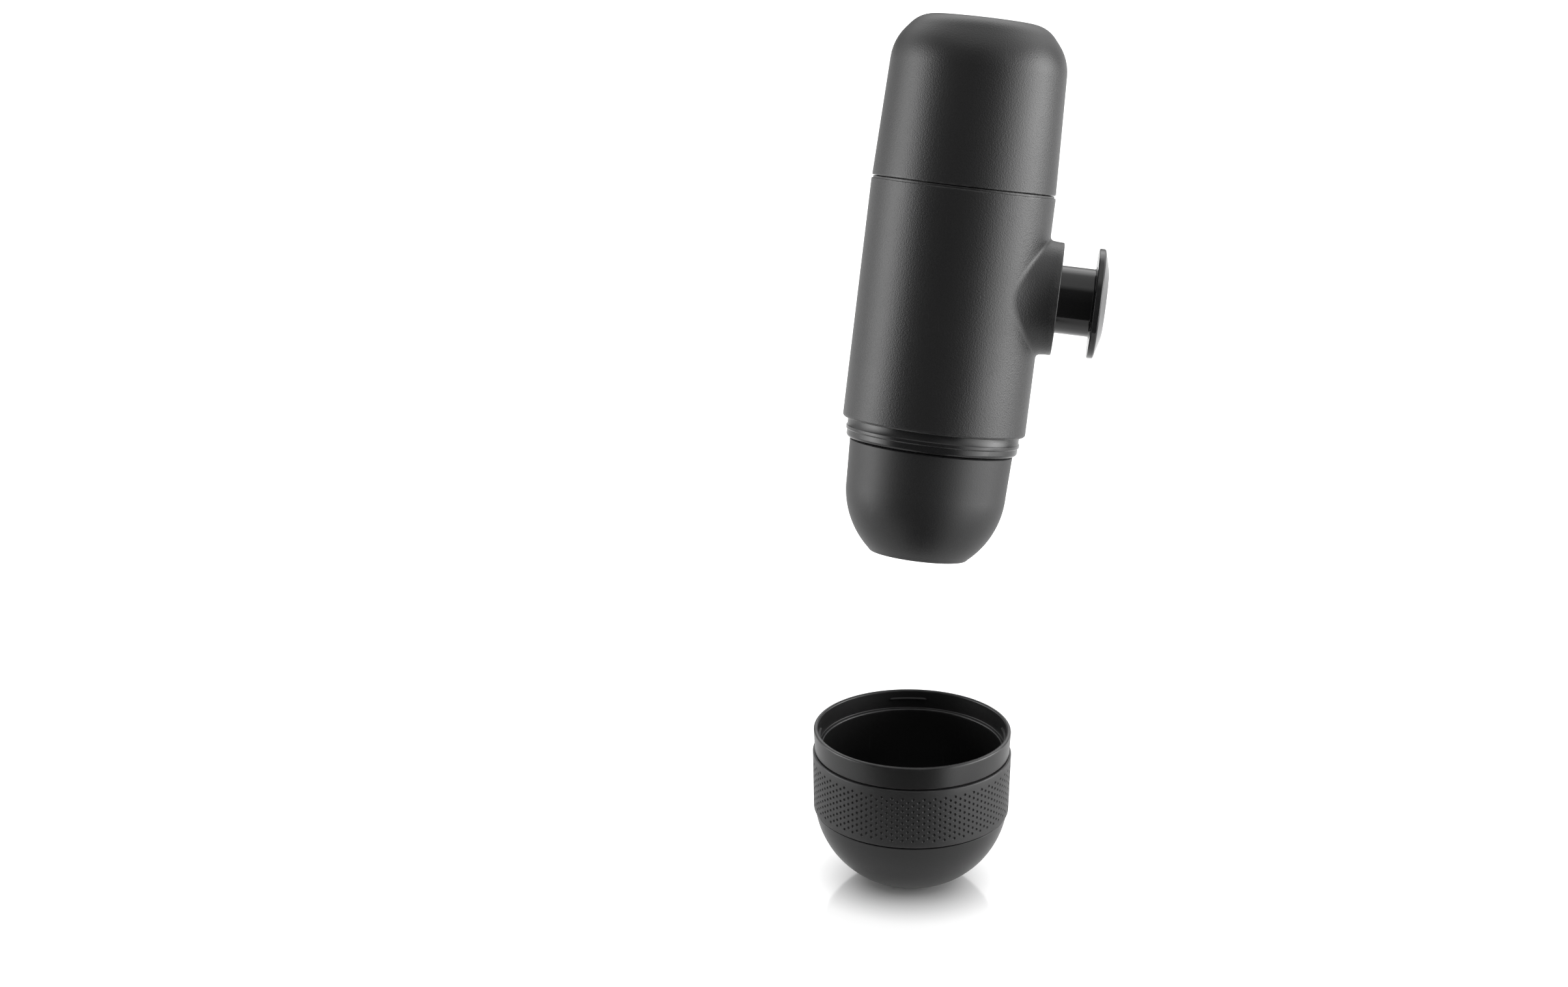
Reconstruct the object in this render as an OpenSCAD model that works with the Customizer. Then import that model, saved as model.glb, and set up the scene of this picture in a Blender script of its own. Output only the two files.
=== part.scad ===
// Handheld manual espresso maker: a hand pump in a slim round body, with a water
// tank on top, a filter and spout below, and a cup that stands apart on the table.
// Millimetres. The origin is the middle of the cup's foot, and +Z is up. The maker
// is held above and behind the cup, leaning back and a little to the right, and its
// own pieces are drawn upright, with their origin at the middle of the spout's end.

/* [Body] */
// Outside diameter of the body
body_d = 59.6; // [56:0.2:66]
// Length of the body, from its lower rim to the seam under the tank
body_len = 77.6; // [72:0.2:96]
// Wall of the body shell
body_wall = 2; // [1.6:0.1:2.4]
// Rounding of the body's lower rim
rim_round = 1.7; // [0.8:0.1:2]

/* [Boss and piston] */
// Height of the pump's axis below the seam
pump_drop = 32.2; // [31:0.2:36]
// Diameter of the boss where its face is
boss_d = 36.4; // [34:0.2:38]
// How far the boss stands out of the body's side
boss_out = 4.7; // [3:0.1:7]
// Radius of the hollow flare between boss and body
boss_flare_r = 30; // [24:1:50]
// Outside diameter of the piston stem
stem_d = 21.9; // [20:0.1:23]
// Wall of the stem's tube
stem_wall = 1.3; // [1:0.1:1.6]
// Travel of the piston
stroke = 11; // [8:0.5:11]
// Diameter of the push knob
knob_d = 35.5; // [30:0.5:40]
// Thickness of the push knob at its middle
knob_t = 4; // [3:0.1:6]
// Thickness of the push knob at its rim
knob_rim_t = 2.1; // [1.5:0.1:2.8]
// Outside diameter of the guide collar in the boss
collar_d = 30; // [28:0.2:31]

/* [Pump] */
// Bore of the pump cylinder
pump_bore_d = 15.2; // [13:0.2:15.6]
// Wall of the cylinder's liner
liner_wall = 1.7; // [1.2:0.1:2]
// Length of the piston head
piston_len = 7; // [6:0.2:8]
// Diameter of the piston rod
rod_d = 6; // [4:0.2:7]
// Wire of the return spring
wire_d = 1.2; // [0.8:0.1:1.4]
// Turns of the return spring
spring_turns = 7; // [5:1:8]
// Diameter of the inlet check ball
ball_d = 5; // [4.4:0.1:5.4]
// Lift of the inlet check ball
ball_lift = 0.8; // [0.5:0.1:1.2]
// Distance from the maker's axis to the inlet and outlet ports
port_x = 15; // [13.5:0.1:15]

/* [Outlet] */
// Height of the outlet head
head_h = 35.9; // [34:0.1:42]
// Diameter of the outlet head under the neck
head_d = 53.2; // [52.6:0.2:54.4]
// Diameter of the flat end round the spout
head_flat_d = 32; // [26:0.5:36]
// Radius of the outlet head's bowl
head_bowl_r = 28.5; // [27:0.5:32]
// Wall of the outlet head
head_wall = 2.2; // [1.6:0.1:2.4]
// Bore of the spout
spout_d = 6; // [4:0.2:7]
// Height of the neck ring that shows under the body
neck_h = 6.7; // [6:0.1:9]
// Diameter of the neck ring
neck_d = 56; // [55.4:0.1:57]
// Diameter of the ridge that holds the cup
ridge_d = 56.6; // [56.2:0.1:57.4]

/* [Filter] */
// Outside diameter of the threaded spigot that the outlet head screws onto
spigot_d = 44.6; // [44:0.1:45]
// Wall of the spigot
spigot_wall = 2; // [1.6:0.1:2.2]
// Inside diameter of the filter basket
basket_d = 36; // [32:0.5:36.4]
// Depth of the filter basket
basket_depth = 17; // [15:0.5:18]
// Sheet of the filter basket
basket_wall = 0.5; // [0.4:0.05:0.7]
// Holes of the basket's floor and of the shower screen
sieve_hole_d = 1.2; // [0.8:0.1:1.4]
// Pitch of those holes
sieve_pitch = 4; // [3.4:0.1:6]

/* [Tank] */
// Height of the tank above the seam
tank_h = 53.4; // [48:0.2:70]
// Diameter of the tank at the seam
tank_d = 59.4; // [55.6:0.2:65.8]
// Diameter of the tank where its shoulder starts
tank_top_d = 56.4; // [53:0.2:59]
// Diameter of the corner between shoulder and flat end
tank_end_d = 40.4; // [34:0.2:44]
// Height of the shoulder's slant
shoulder_h = 9.6; // [8:0.2:14]
// Wall of the tank
tank_wall = 1.9; // [1.5:0.1:2.4]
// Width of the dark seam between tank and body
seam_w = 0.7; // [0.4:0.1:1]
// Length of the threaded skirt under the seam
skirt_len = 8; // [6:0.2:8.4]

/* [Cup] */
// Height of the cup
cup_h = 50; // [47.6:0.2:60]
// Diameter of the cup's mouth
cup_d = 60.8; // [60.2:0.2:64]
// Diameter of the cup's flat foot
foot_d = 19.4; // [16:0.2:28]
// Radius of the cup's bowl
cup_bowl_r = 27.9; // [26.6:0.1:28.4]
// Wall of the cup
cup_wall = 1.9; // [1.6:0.1:2]
// Depth of the recess in the mouth that takes the neck
mouth_depth = 5.8; // [5:0.1:6.4]
// Height of the plain band under the mouth
lip_band_h = 6.6; // [6:0.1:8]
// Height of the rubber grip band
grip_h = 19; // [14:0.1:20]
// Thickness of the rubber grip band
grip_t = 1.2; // [0.8:0.1:1.6]
// Arc of each lug in the mouth, in degrees
lug_arc = 24; // [12:1:40]

/* [Pose] */
// Lean of the maker away from the viewer, in degrees
lean_back = 11.6; // [0:0.1:14]
// Lean of the maker to the right, in degrees
lean_side = 6.7; // [0:0.1:12]
// Turn of the knob towards the viewer, in degrees
spin = 5; // [0:1:20]
// Place of the spout's end to the right of the cup
spout_x = 4.2; // [0:0.1:12]
// Place of the spout's end behind the cup
spout_y = 66.8; // [60:0.1:90]
// Height of the spout's end over the cup's rim
spout_z = 31.9; // [26:0.1:60]

/* [Hidden] */
$fn = 96;

// Clearances
fit = 0.1;         // between pieces fixed in each other
slip = 0.3;        // between pieces that come apart or turn
run = 0.05;        // between piston, stem and what they run in
over = 1;          // how far a cut runs past a face

// Levels of the maker, from the spout's end up
neck_z = head_h + slip;
rim_z = neck_z + neck_h;
seam_z = rim_z + body_len;
top_z = seam_z + tank_h;
pump_z = seam_z - pump_drop;

// Body and neck
body_r = body_d / 2;
inner_r = body_r - body_wall;
core_r = inner_r - 0.2;
ridge_drop = 3.4;      // middle of the ridge below the body's rim
ridge_z = rim_z - ridge_drop;
ridge_h = 0.9;
neck_gap = 1.5;        // round the spigot, for the outlet head's thread
neck_bore_r = spigot_d / 2 + neck_gap;
neck_plug_h = 3.4;
neck_screw_ring_r = (neck_bore_r + neck_d / 2) / 2;
neck_screw_r = 1.25;
neck_screw_head_r = 1.8;
neck_screw_head_h = 1.4;
neck_screw_len = 14;
neck_screw_angles = [70, 190, 310];

// Boss, stem and knob, measured outwards from the maker's axis
face_x = body_r + boss_out;
stem_r = stem_d / 2;
stem_bore_r = stem_r - stem_wall;
collar_r = collar_d / 2;
collar_len = 12;
collar_x = face_x - slip - collar_len;
collar_end_x = face_x - slip;
stop_t = 1.7;
stop_r = stem_r + 1.1;
knob_x = face_x + stroke + slip;
knob_hub_len = 5.8;
stem_in_x = collar_x - slip - stop_t;
wiper_in = 4.2;        // how deep the wiper sits in the collar
wiper_x = collar_end_x - wiper_in;
wiper_w = 1.6;
wiper_r = stem_r + 1.6;

// Pump cylinder, piston and spring, on the same axis as the stem
pump_r = pump_bore_d / 2;
liner_r = pump_r + liner_wall;
port_r = 1.5;
liner_gap = 1.5;       // between the pushed stem and the liner's mouth
liner_mouth_x = stem_in_x - stroke - slip - liner_gap;
port_land = 0.6;       // wall of the liner past its ports
liner_end_x = -port_x - port_r - port_land;
liner_floor_t = 1.5;
piston_x = stroke - port_x + port_r + port_land;
washer_t = 1;
washer_x = liner_mouth_x + slip;
washer_r = liner_r - 0.5;
spring_end_gap = 0.2;      // at each end of the spring
spring_x = washer_x + washer_t + spring_end_gap;
spring_end_x = knob_x - knob_hub_len - spring_end_gap;
spring_room = 2.6;     // between the spring and the stem's bore
spring_r = stem_bore_r - wire_d / 2 - spring_room;
coil_rings = 8;
coil_sides = 6;

// Pump block
barrel_wall = 3;
barrel_r = liner_r + barrel_wall;
barrel_floor_t = 2;
barrel_x = liner_end_x - liner_floor_t - barrel_floor_t;
barrel_end_x = liner_mouth_x;
rib_t = 1.6;
rib_r = core_r - 1.5;
tank_seat_depth = 12.5; // from the seam down to the block's upper plate
block_top_z = seam_z - tank_seat_depth;
block_plate_t = 2.7;
block_floor_z = rim_z + neck_plug_h;
block_floor_t = 3;
brew_top_z = rim_z + 0.4;
column_r = 6.2;
cage_wall = 1.4;
cage_r = ball_d / 2 + cage_wall;
cage_h = 2;
cage_bore_r = ball_d * 0.32;
cage_depth = 9.2;
cage_z = block_top_z - cage_depth;
ball_z = cage_z + cage_h + sqrt(pow(ball_d / 2, 2) - pow(cage_bore_r, 2)) + run;
seat_bore_r = ball_d * 0.36;
inlet_seat_z = ball_z + ball_lift + sqrt(pow(ball_d / 2, 2) - pow(seat_bore_r, 2)) + run;

// Tank, its seat and skirt, and the vent
tank_end_round = 10;
tank_top_round = 16;
seat_floor_t = 2;
seat_wall = 1.1;
seat_top_z = seam_z - slip;
skirt_r = inner_r - seat_wall - fit - 1.4;
skirt_wall = 1.8;
skirt_root = 2;        // where the skirt's bore ends, above the seam
skirt_rise = 6;        // where the tank's own bore starts, above the seam
skirt_z = seam_z - skirt_len;
tank_gasket_h = skirt_z - block_top_z - seat_floor_t - slip;
vent_x = 14;
vent_r = 2.4;
vent_flange_r = 4;

// Brew chamber, from the spigot's end up
spigot_r = spigot_d / 2;
spigot_bore_r = spigot_r - spigot_wall;
shelf_w = 1;
screen_t = 0.8;
screen_drop = 5;
screen_z = rim_z - screen_drop;
screw_head_r = 3;
screw_head_h = 1.4;
screw_r = 1.5;
gasket_h = 3;
gasket_gap = 0.2;
gasket_z = screen_z - gasket_h - gasket_gap;
gasket_w = 2.8;
basket_r = basket_d / 2;
basket_rim_t = 0.8;
basket_top_z = gasket_z - slip;
basket_floor_z = basket_top_z - basket_depth - basket_wall;
basket_below = 5.4;    // how far the basket stands out below the spigot
spigot_z = basket_floor_z + basket_below;
outlet_valve_r = 4.4;
outlet_valve_nose = 2.8;

// Outlet head, filter adapter and spout
head_r = head_d / 2;
head_side_r = head_r - 0.5;
bowl_share = 0.613;    // of the head's height that its bowl takes up
head_bowl_z = head_h * bowl_share;
head_bowl_c = head_side_r - head_bowl_r;
head_edge_z = 0.7;
adapter_r = spigot_r + 0.1;
adapter_wall = 1.5;
adapter_gap = 0.5;
adapter_top_z = spigot_z - adapter_gap;
adapter_floor_z = basket_floor_z - adapter_wall;
head_gap = 1.2;        // round the spigot, for the thread
head_bore_r = spigot_r + head_gap;
spout_r = spout_d / 2;
nozzle_wall = 1.9;
nozzle_r = spout_r + nozzle_wall;
nozzle_flange_r = nozzle_r + 1.8;
nozzle_z = 0.4;
nozzle_floor = head_wall + slip;
nozzle_h = 3.4;        // above the head's floor
nozzle_top_z = nozzle_floor + nozzle_h;

// Cup
cup_r = cup_d / 2;
cup_draft = 0.4;
groove_h = 0.8;
grip_top_z = cup_h - lip_band_h - groove_h;
grip_z = grip_top_z - grip_h;
grip_r = cup_r + 0.2;
grip_bed_r = grip_r - grip_t;
bowl_cut = 0.7;        // how much of the bowl the flat foot cuts away
cup_bowl_z = cup_bowl_r - bowl_cut;
cup_bowl_c = grip_bed_r + 0.6 - cup_bowl_r;
cup_floor_extra = 1.3;
cup_floor_t = cup_wall + cup_floor_extra;
cup_inner_r = grip_bed_r - cup_wall;
mouth_r = ridge_d / 2 + slip;
lug_drop = 3.2;        // from the rim down to the lugs
lug_z = cup_h - lug_drop;
lug_h = 0.9;
lug_in = 0.5;

// ---- helpers ----

function unit(v) = v / norm(v);

// An arc about the point c, from angle a0 to angle a1, in n steps
function arc(c, r, a0, a1, n = 10) =
    [for (i = [0:n]) let (a = a0 + (a1 - a0) * i / n) c + r * [cos(a), sin(a)]];

// The corner p between its neighbours a and b, rounded to the radius r
function round_corner(a, p, b, r, n) =
    let (
        u = unit(a - p),
        v = unit(b - p),
        half = acos(u * v) / 2,
        c = p + unit(u + v) * r / sin(half),
        s = p + u * r / tan(half) - c,
        e = p + v * r / tan(half) - c,
        a0 = atan2(s.y, s.x),
        swing = atan2(e.y, e.x) - a0,
        turn = swing > 180 ? swing - 360 : swing < -180 ? swing + 360 : swing
    )
    arc(c, r, a0, a0 + turn, n);

// Points as sharp corners of an outline
function sharp(points) = [for (p = points) [p.x, p.y, 0]];

// An outline of points [x, y, corner radius]; a radius of 0 keeps the corner sharp
function rounded(p, n = 8) = [
    for (i = [0:len(p) - 1])
        let (
            q = [p[i].x, p[i].y],
            a = p[(i + len(p) - 1) % len(p)],
            b = p[(i + 1) % len(p)]
        )
        each p[i].z > 0 ? round_corner([a.x, a.y], q, [b.x, b.y], p[i].z, n) : [q]
];

// A piece turned about the maker's axis from an outline of [radius, height] points
module turned(points) {
    rotate_extrude() polygon(points);
}

// A disc from z0 to z1
module disc(z0, z1, r) {
    translate([0, 0, z0]) cylinder(r = r, h = z1 - z0);
}

// A ring from z0 to z1
module ring(z0, z1, outer_r, inner_r) {
    difference() {
        disc(z0, z1, outer_r);
        disc(z0 - over, z1 + over, inner_r);
    }
}

// Puts what is drawn along +Z on the pump's axis, where +Z becomes the way out
module on_pump_axis() {
    translate([0, 0, pump_z]) rotate([0, 90, 0]) children();
}

// Holds the maker's pieces over the cup
module held() {
    translate([spout_x, spout_y, cup_h + spout_z])
        rotate([-lean_back, 0, 0]) rotate([0, lean_side, 0]) rotate([0, 0, -spin])
            children();
}

// Holes on a triangular grid inside the radius r
module sieve_holes(r, z, h) {
    n = floor(r / sieve_pitch) + 1;
    for (i = [-n:n], j = [-n:n]) {
        x = (i + j / 2) * sieve_pitch;
        y = j * sieve_pitch * sin(60);
        if (norm([x, y]) < r)
            translate([x, y, z]) cylinder(d = sieve_hole_d, h = h, $fn = 16);
    }
}

// ---- body ----

// Moulded outer shell with the flared boss that the piston comes out of
module body_shell() {
    color([0.16, 0.16, 0.165]) held() difference() {
        union() {
            turned(rounded([
                [inner_r - over, rim_z, 0],
                [body_r, rim_z, rim_round],
                [body_r, seam_z - seam_w / 2, 0.4],
                [inner_r - over, seam_z - seam_w / 2, 0]
            ]));
            boss();
        }
        translate([0, 0, rim_z - over]) cylinder(r = inner_r, h = body_len + 2 * over);
        on_pump_axis() cylinder(r = collar_r + fit, h = face_x + over);
    }
}

// The boss, turned about the pump's axis, with a hollow flare towards the body
module boss() {
    flare_len = face_x - inner_r * 0.7;
    flare_angle = asin(flare_len / boss_flare_r);
    flare_c = [boss_d / 2 + boss_flare_r, face_x];
    on_pump_axis() turned(concat(
        [[0, face_x - flare_len], [0, face_x]],
        arc(flare_c, boss_flare_r, 180, 180 + flare_angle)
    ));
}

// Neck under the body: a plain band, a thin ridge for the cup and a rounded foot
module neck_ring() {
    neck_r = neck_d / 2;
    ridge_r = ridge_d / 2;
    color([0.07, 0.07, 0.075]) held() difference() {
        turned(rounded([
            [neck_bore_r, neck_z, 0],
            [neck_r - 0.1, neck_z, 1.1],
            [neck_r - 0.1, ridge_z - ridge_h / 2 - 0.4, 0],
            [ridge_r, ridge_z - ridge_h / 2, 0.2],
            [ridge_r, ridge_z + ridge_h / 2, 0.2],
            [neck_r, ridge_z + ridge_h / 2 + 0.4, 0],
            [neck_r, rim_z - 0.1, 0],
            [inner_r - fit, rim_z - 0.1, 0],
            [inner_r - fit, block_floor_z, 0],
            [neck_bore_r, block_floor_z, 0]
        ]));
        neck_screw_holes(neck_screw_r + fit);
        for (a = neck_screw_angles) rotate([0, 0, a])
            translate([neck_screw_ring_r, 0, neck_z - over])
                cylinder(r = neck_screw_head_r + fit, h = over + 0.4 + neck_screw_head_h, $fn = 32);
    }
}

module neck_screw_holes(r) {
    for (a = neck_screw_angles) rotate([0, 0, a])
        translate([neck_screw_ring_r, 0, neck_z + 0.4])
            cylinder(r = r, h = neck_screw_len + 0.5, $fn = 32);
}

// Three pan-head screws that hold the neck ring to the pump block
module neck_screws() {
    color([0.7, 0.7, 0.72]) held() for (a = neck_screw_angles) rotate([0, 0, a])
        translate([neck_screw_ring_r, 0, neck_z + 0.4]) difference() {
            union() {
                cylinder(r = neck_screw_head_r, h = neck_screw_head_h, $fn = 32);
                cylinder(r = neck_screw_r, h = neck_screw_len, $fn = 32);
            }
            translate([0, 0, -over]) cylinder(r = 0.7, h = over + 0.8, $fn = 6);
        }
}

// ---- pump block ----

// Moulded core: two round plates, ribs, the pump's barrel, the two water columns and
// the spigot of the brew chamber
module pump_block() {
    color([0.1, 0.1, 0.105]) held() difference() {
        union() {
            disc(block_top_z - block_plate_t, block_top_z, core_r);
            disc(block_floor_z, block_floor_z + block_floor_t, core_r);
            brew_spigot();
            block_ribs();
            translate([0, 0, pump_z]) rotate([0, 90, 0]) translate([0, 0, barrel_x])
                cylinder(r = barrel_r, h = barrel_end_x - barrel_x);
            translate([-port_x, 0, block_floor_z])
                cylinder(r = column_r, h = block_top_z - block_floor_z);
            intersection() {
                for (a = neck_screw_angles) rotate([0, 0, a])
                    translate([neck_screw_ring_r, 0, block_floor_z])
                        cylinder(r = 2.2, h = neck_screw_len - 5);
                translate([0, 0, block_floor_z]) cylinder(r = core_r, h = neck_screw_len);
            }
        }
        on_pump_axis() translate([0, 0, liner_end_x - liner_floor_t])
            cylinder(r = liner_r + fit / 2, h = barrel_end_x - liner_end_x + liner_floor_t + over);
        translate([-port_x, 0, brew_top_z - over])
            cylinder(r = port_r, h = block_top_z - brew_top_z + 2 * over);
        translate([-port_x, 0, cage_z]) cylinder(r = cage_r + fit, h = block_top_z);
        translate([-port_x, 0, brew_top_z - over])
            cylinder(r = outlet_valve_r + fit, h = over + 1.3);
        translate([vent_x, 0, block_top_z - block_plate_t - over])
            cylinder(r = vent_flange_r, h = block_plate_t + 2 * over);
        neck_screw_holes(neck_screw_r + fit);
        translate([0, 0, screen_z]) cylinder(r = screw_r + fit, h = 9);
    }
}

// Tube that the outlet head screws onto, closed above by the brew chamber's roof
module brew_spigot() {
    turned([
        [0, brew_top_z],
        [spigot_bore_r - shelf_w, brew_top_z],
        [spigot_bore_r - shelf_w, screen_z + screen_t],
        [spigot_bore_r, screen_z + screen_t],
        [spigot_bore_r, spigot_z],
        [spigot_r, spigot_z],
        [spigot_r, block_floor_z + block_floor_t],
        [0, block_floor_z + block_floor_t]
    ]);
    ring(screen_z + screen_t, brew_top_z + over, screw_head_r + 1, screw_r + fit);
}

// Upright ribs between the two plates, cut back round the barrel's mouth and the boss
module block_ribs() {
    rib_h = block_top_z - block_floor_z;
    difference() {
        for (a = [0, 90]) rotate([0, 0, a])
            translate([-rib_r, -rib_t / 2, block_floor_z]) cube([2 * rib_r, rib_t, rib_h]);
        on_pump_axis() translate([0, 0, liner_mouth_x - slip])
            cylinder(r = collar_r + 2, h = body_r);
    }
}

// Floor and threaded wall in the body's top that the tank screws into
module tank_seat() {
    wall_r = inner_r - fit;
    floor_z = block_top_z + seat_floor_t;
    color([0.12, 0.12, 0.125]) held() difference() {
        turned(rounded([
            [0, block_top_z, 0],
            [wall_r, block_top_z, 0],
            [wall_r, seat_top_z - seam_w, 0.3],
            [wall_r - seat_wall, seat_top_z - seam_w, 0.3],
            [wall_r - seat_wall, floor_z, 0],
            [0, floor_z, 0]
        ]));
        translate([-port_x, 0, block_top_z - over]) cylinder(r = 2.4, h = seat_floor_t + 2 * over);
        translate([vent_x, 0, block_top_z - over])
            cylinder(r = vent_r + fit, h = seat_floor_t + 2 * over);
    }
}

// Silicone duckbill that lets air into the tank as the water goes out
module vent_valve() {
    flange_z = block_top_z + seat_floor_t;
    color([0.75, 0.73, 0.7]) held() translate([vent_x, 0, 0]) difference() {
        union() {
            translate([0, 0, flange_z]) cylinder(r = vent_flange_r, h = 1.2);
            translate([0, 0, block_top_z - 1]) cylinder(r = vent_r, h = seat_floor_t + 1.1);
            translate([0, 0, block_top_z - 4]) cylinder(r1 = 1.2, r2 = vent_r, h = 3);
        }
        translate([0, 0, block_top_z]) cylinder(r = 1.1, h = seat_floor_t + 2);
        translate([-vent_r, -0.15, block_top_z - 5]) cube([2 * vent_r, 0.3, 3]);
    }
}

// ---- inlet check valve ----

// Ring with four water ways that the ball drops onto when the pump fills
module inlet_cage() {
    color([0.85, 0.85, 0.82]) held() translate([-port_x, 0, cage_z]) difference() {
        cylinder(r = cage_r, h = cage_h);
        translate([0, 0, -over]) cylinder(r = cage_bore_r, h = cage_h + 2 * over);
        for (a = [45:90:315]) rotate([0, 0, a])
            translate([cage_bore_r - 0.4, -0.5, cage_h / 2]) cube([cage_r, 1, cage_h]);
    }
}

// Ball that rises to the seat and shuts the way back to the tank
module inlet_ball() {
    color([0.8, 0.8, 0.82]) held() translate([-port_x, 0, ball_z]) sphere(d = ball_d);
}

// Seat over the ball, pressed into the top of the inlet column
module inlet_seat() {
    color([0.85, 0.85, 0.82]) held() translate([-port_x, 0, 0])
        ring(inlet_seat_z, block_top_z, cage_r, seat_bore_r);
}

// Silicone duckbill that lets the water out of the pump into the brew chamber
module outlet_valve() {
    color([0.75, 0.73, 0.7]) held() translate([-port_x, 0, brew_top_z]) difference() {
        union() {
            cylinder(r = outlet_valve_r, h = 1.2);
            translate([0, 0, -outlet_valve_nose])
                cylinder(r1 = 1.2, r2 = 2.6, h = outlet_valve_nose + 0.1);
        }
        translate([0, 0, -1]) cylinder(r = port_r, h = 3);
        translate([-3, -0.15, -outlet_valve_nose - over]) cube([6, 0.3, outlet_valve_nose]);
    }
}

// ---- pump ----

// Drawn steel liner that the piston runs in, with a port above and one below
module pump_cylinder() {
    color([0.72, 0.72, 0.74]) held() difference() {
        on_pump_axis() translate([0, 0, liner_end_x - liner_floor_t])
            cylinder(r = liner_r, h = liner_mouth_x - liner_end_x + liner_floor_t);
        on_pump_axis() translate([0, 0, liner_end_x])
            cylinder(r = pump_r, h = liner_mouth_x - liner_end_x + over);
        translate([-port_x, 0, pump_z - liner_r - over])
            cylinder(r = port_r, h = 2 * (liner_r + over), $fn = 48);
    }
}

// Bush in the boss that guides the stem and stops its flange
module guide_collar() {
    color([0.08, 0.08, 0.085]) held() on_pump_axis() turned(rounded([
        [stem_r + run, collar_x, 0],
        [collar_r, collar_x, 0.3],
        [collar_r, collar_end_x, 0.5],
        [stem_r + run + 0.6, collar_end_x, 0],
        [stem_r + run, collar_end_x - 0.6, 0],
        [stem_r + run, wiper_x + wiper_w + fit, 0],
        [wiper_r + fit, wiper_x + wiper_w + fit, 0],
        [wiper_r + fit, wiper_x - fit, 0],
        [stem_r + run, wiper_x - fit, 0]
    ]));
}

// Wiper that keeps dirt out of the collar
module wiper_seal() {
    color([0.2, 0.2, 0.2]) held() on_pump_axis()
        ring(wiper_x, wiper_x + wiper_w, wiper_r, stem_r + run);
}

// Washer on the liner's mouth that lets the spring turn with the knob
module spring_washer() {
    color([0.75, 0.75, 0.76]) held() on_pump_axis()
        ring(washer_x, washer_x + washer_t, washer_r, rod_d / 2 + slip);
}

// Return spring: one wire on a helix round the piston rod
module return_spring() {
    length = spring_end_x - spring_x - wire_d;
    rings = coil_rings * spring_turns;
    lead = length / spring_turns;
    echo(spring_gap = least_gap(lead));
    color([0.78, 0.78, 0.8]) held() on_pump_axis() translate([0, 0, spring_x + wire_d / 2])
        tube([
            for (i = [0:rings])
                let (a = 360 * i / coil_rings)
                [spring_r * cos(a), spring_r * sin(a), lead * i / coil_rings]
        ], wire_d / 2, coil_sides);
}

// Least gap between one turn of the spring and the next, over a quarter turn each way
function least_gap(lead) = min([
    for (i = [0:4], s = [-0.25:0.05:0.25])
        let (
            a = 90 * i,
            b = a + 360 + 360 * s,
            p = [spring_r * cos(a), spring_r * sin(a), lead * a / 360],
            q = [spring_r * cos(b), spring_r * sin(b), lead * b / 360]
        )
        norm(p - q) - wire_d
]);

// A tube of the radius r along a path of points, as one closed skin
module tube(path, r, sides) {
    n = len(path);
    way = function(i) unit(path[min(i + 1, n - 1)] - path[max(i - 1, 0)]);
    points = [
        for (i = [0:n - 1])
            let (
                w = way(i),
                out = unit([path[i].x, path[i].y, 0]),
                side = unit(cross(w, out)),
                up = cross(side, w)
            )
            for (k = [0:sides - 1])
                path[i] + r * (cos(360 * k / sides) * up + sin(360 * k / sides) * side)
    ];
    skin = [
        for (i = [0:n - 2], k = [0:sides - 1])
            let (
                a = i * sides + k,
                b = i * sides + (k + 1) % sides
            )
            each [[a, b + sides, b], [a, a + sides, b + sides]]
    ];
    start = [for (k = [1:sides - 2]) [0, k, k + 1]];
    last = (n - 1) * sides;
    end = [for (k = [1:sides - 2]) [last, last + k + 1, last + k]];
    polyhedron(points, concat(skin, start, end));
}

// Piston head with the groove of its seal
module piston_head() {
    head_side = pump_r - run - 0.1;
    groove_r = head_side - 1.2;
    groove_x = piston_x + 1.8;
    color([0.1, 0.1, 0.1]) held() on_pump_axis() difference() {
        turned(rounded([
            [0, piston_x, 0],
            [head_side, piston_x, 0.4],
            [head_side, groove_x, 0],
            [groove_r, groove_x, 0],
            [groove_r, groove_x + 1.9, 0],
            [head_side, groove_x + 1.9, 0],
            [head_side, piston_x + piston_len, 0.3],
            [0, piston_x + piston_len, 0]
        ]));
        translate([0, 0, piston_x + piston_len - 4]) cylinder(d = rod_d + fit, h = 5);
    }
}

// Seal ring in the piston's groove
module piston_seal() {
    seal_x = piston_x + 1.8 + 0.05;
    color([0.25, 0.08, 0.06]) held() on_pump_axis()
        ring(seal_x, seal_x + 1.8, pump_r - run, pump_r - run - 1.25);
}

// Steel rod that joins the piston head to the knob
module piston_rod() {
    rod_x = piston_x + piston_len - 4;
    color([0.78, 0.78, 0.8]) held() on_pump_axis() translate([0, 0, rod_x])
        cylinder(d = rod_d, h = knob_x - 1.5 - rod_x);
}

// Gloss tube that slides in the collar, with the flange that stops it going out
module piston_stem() {
    color([0.03, 0.03, 0.032]) held() on_pump_axis() turned(rounded([
        [stem_bore_r, stem_in_x, 0],
        [stop_r, stem_in_x, 0.3],
        [stop_r, stem_in_x + stop_t, 0.2],
        [stem_r, stem_in_x + stop_t, 0],
        [stem_r, knob_x - 0.8, 0],
        [stem_r + 0.6, knob_x, 0],
        [stem_bore_r, knob_x, 0]
    ]));
}

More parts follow.
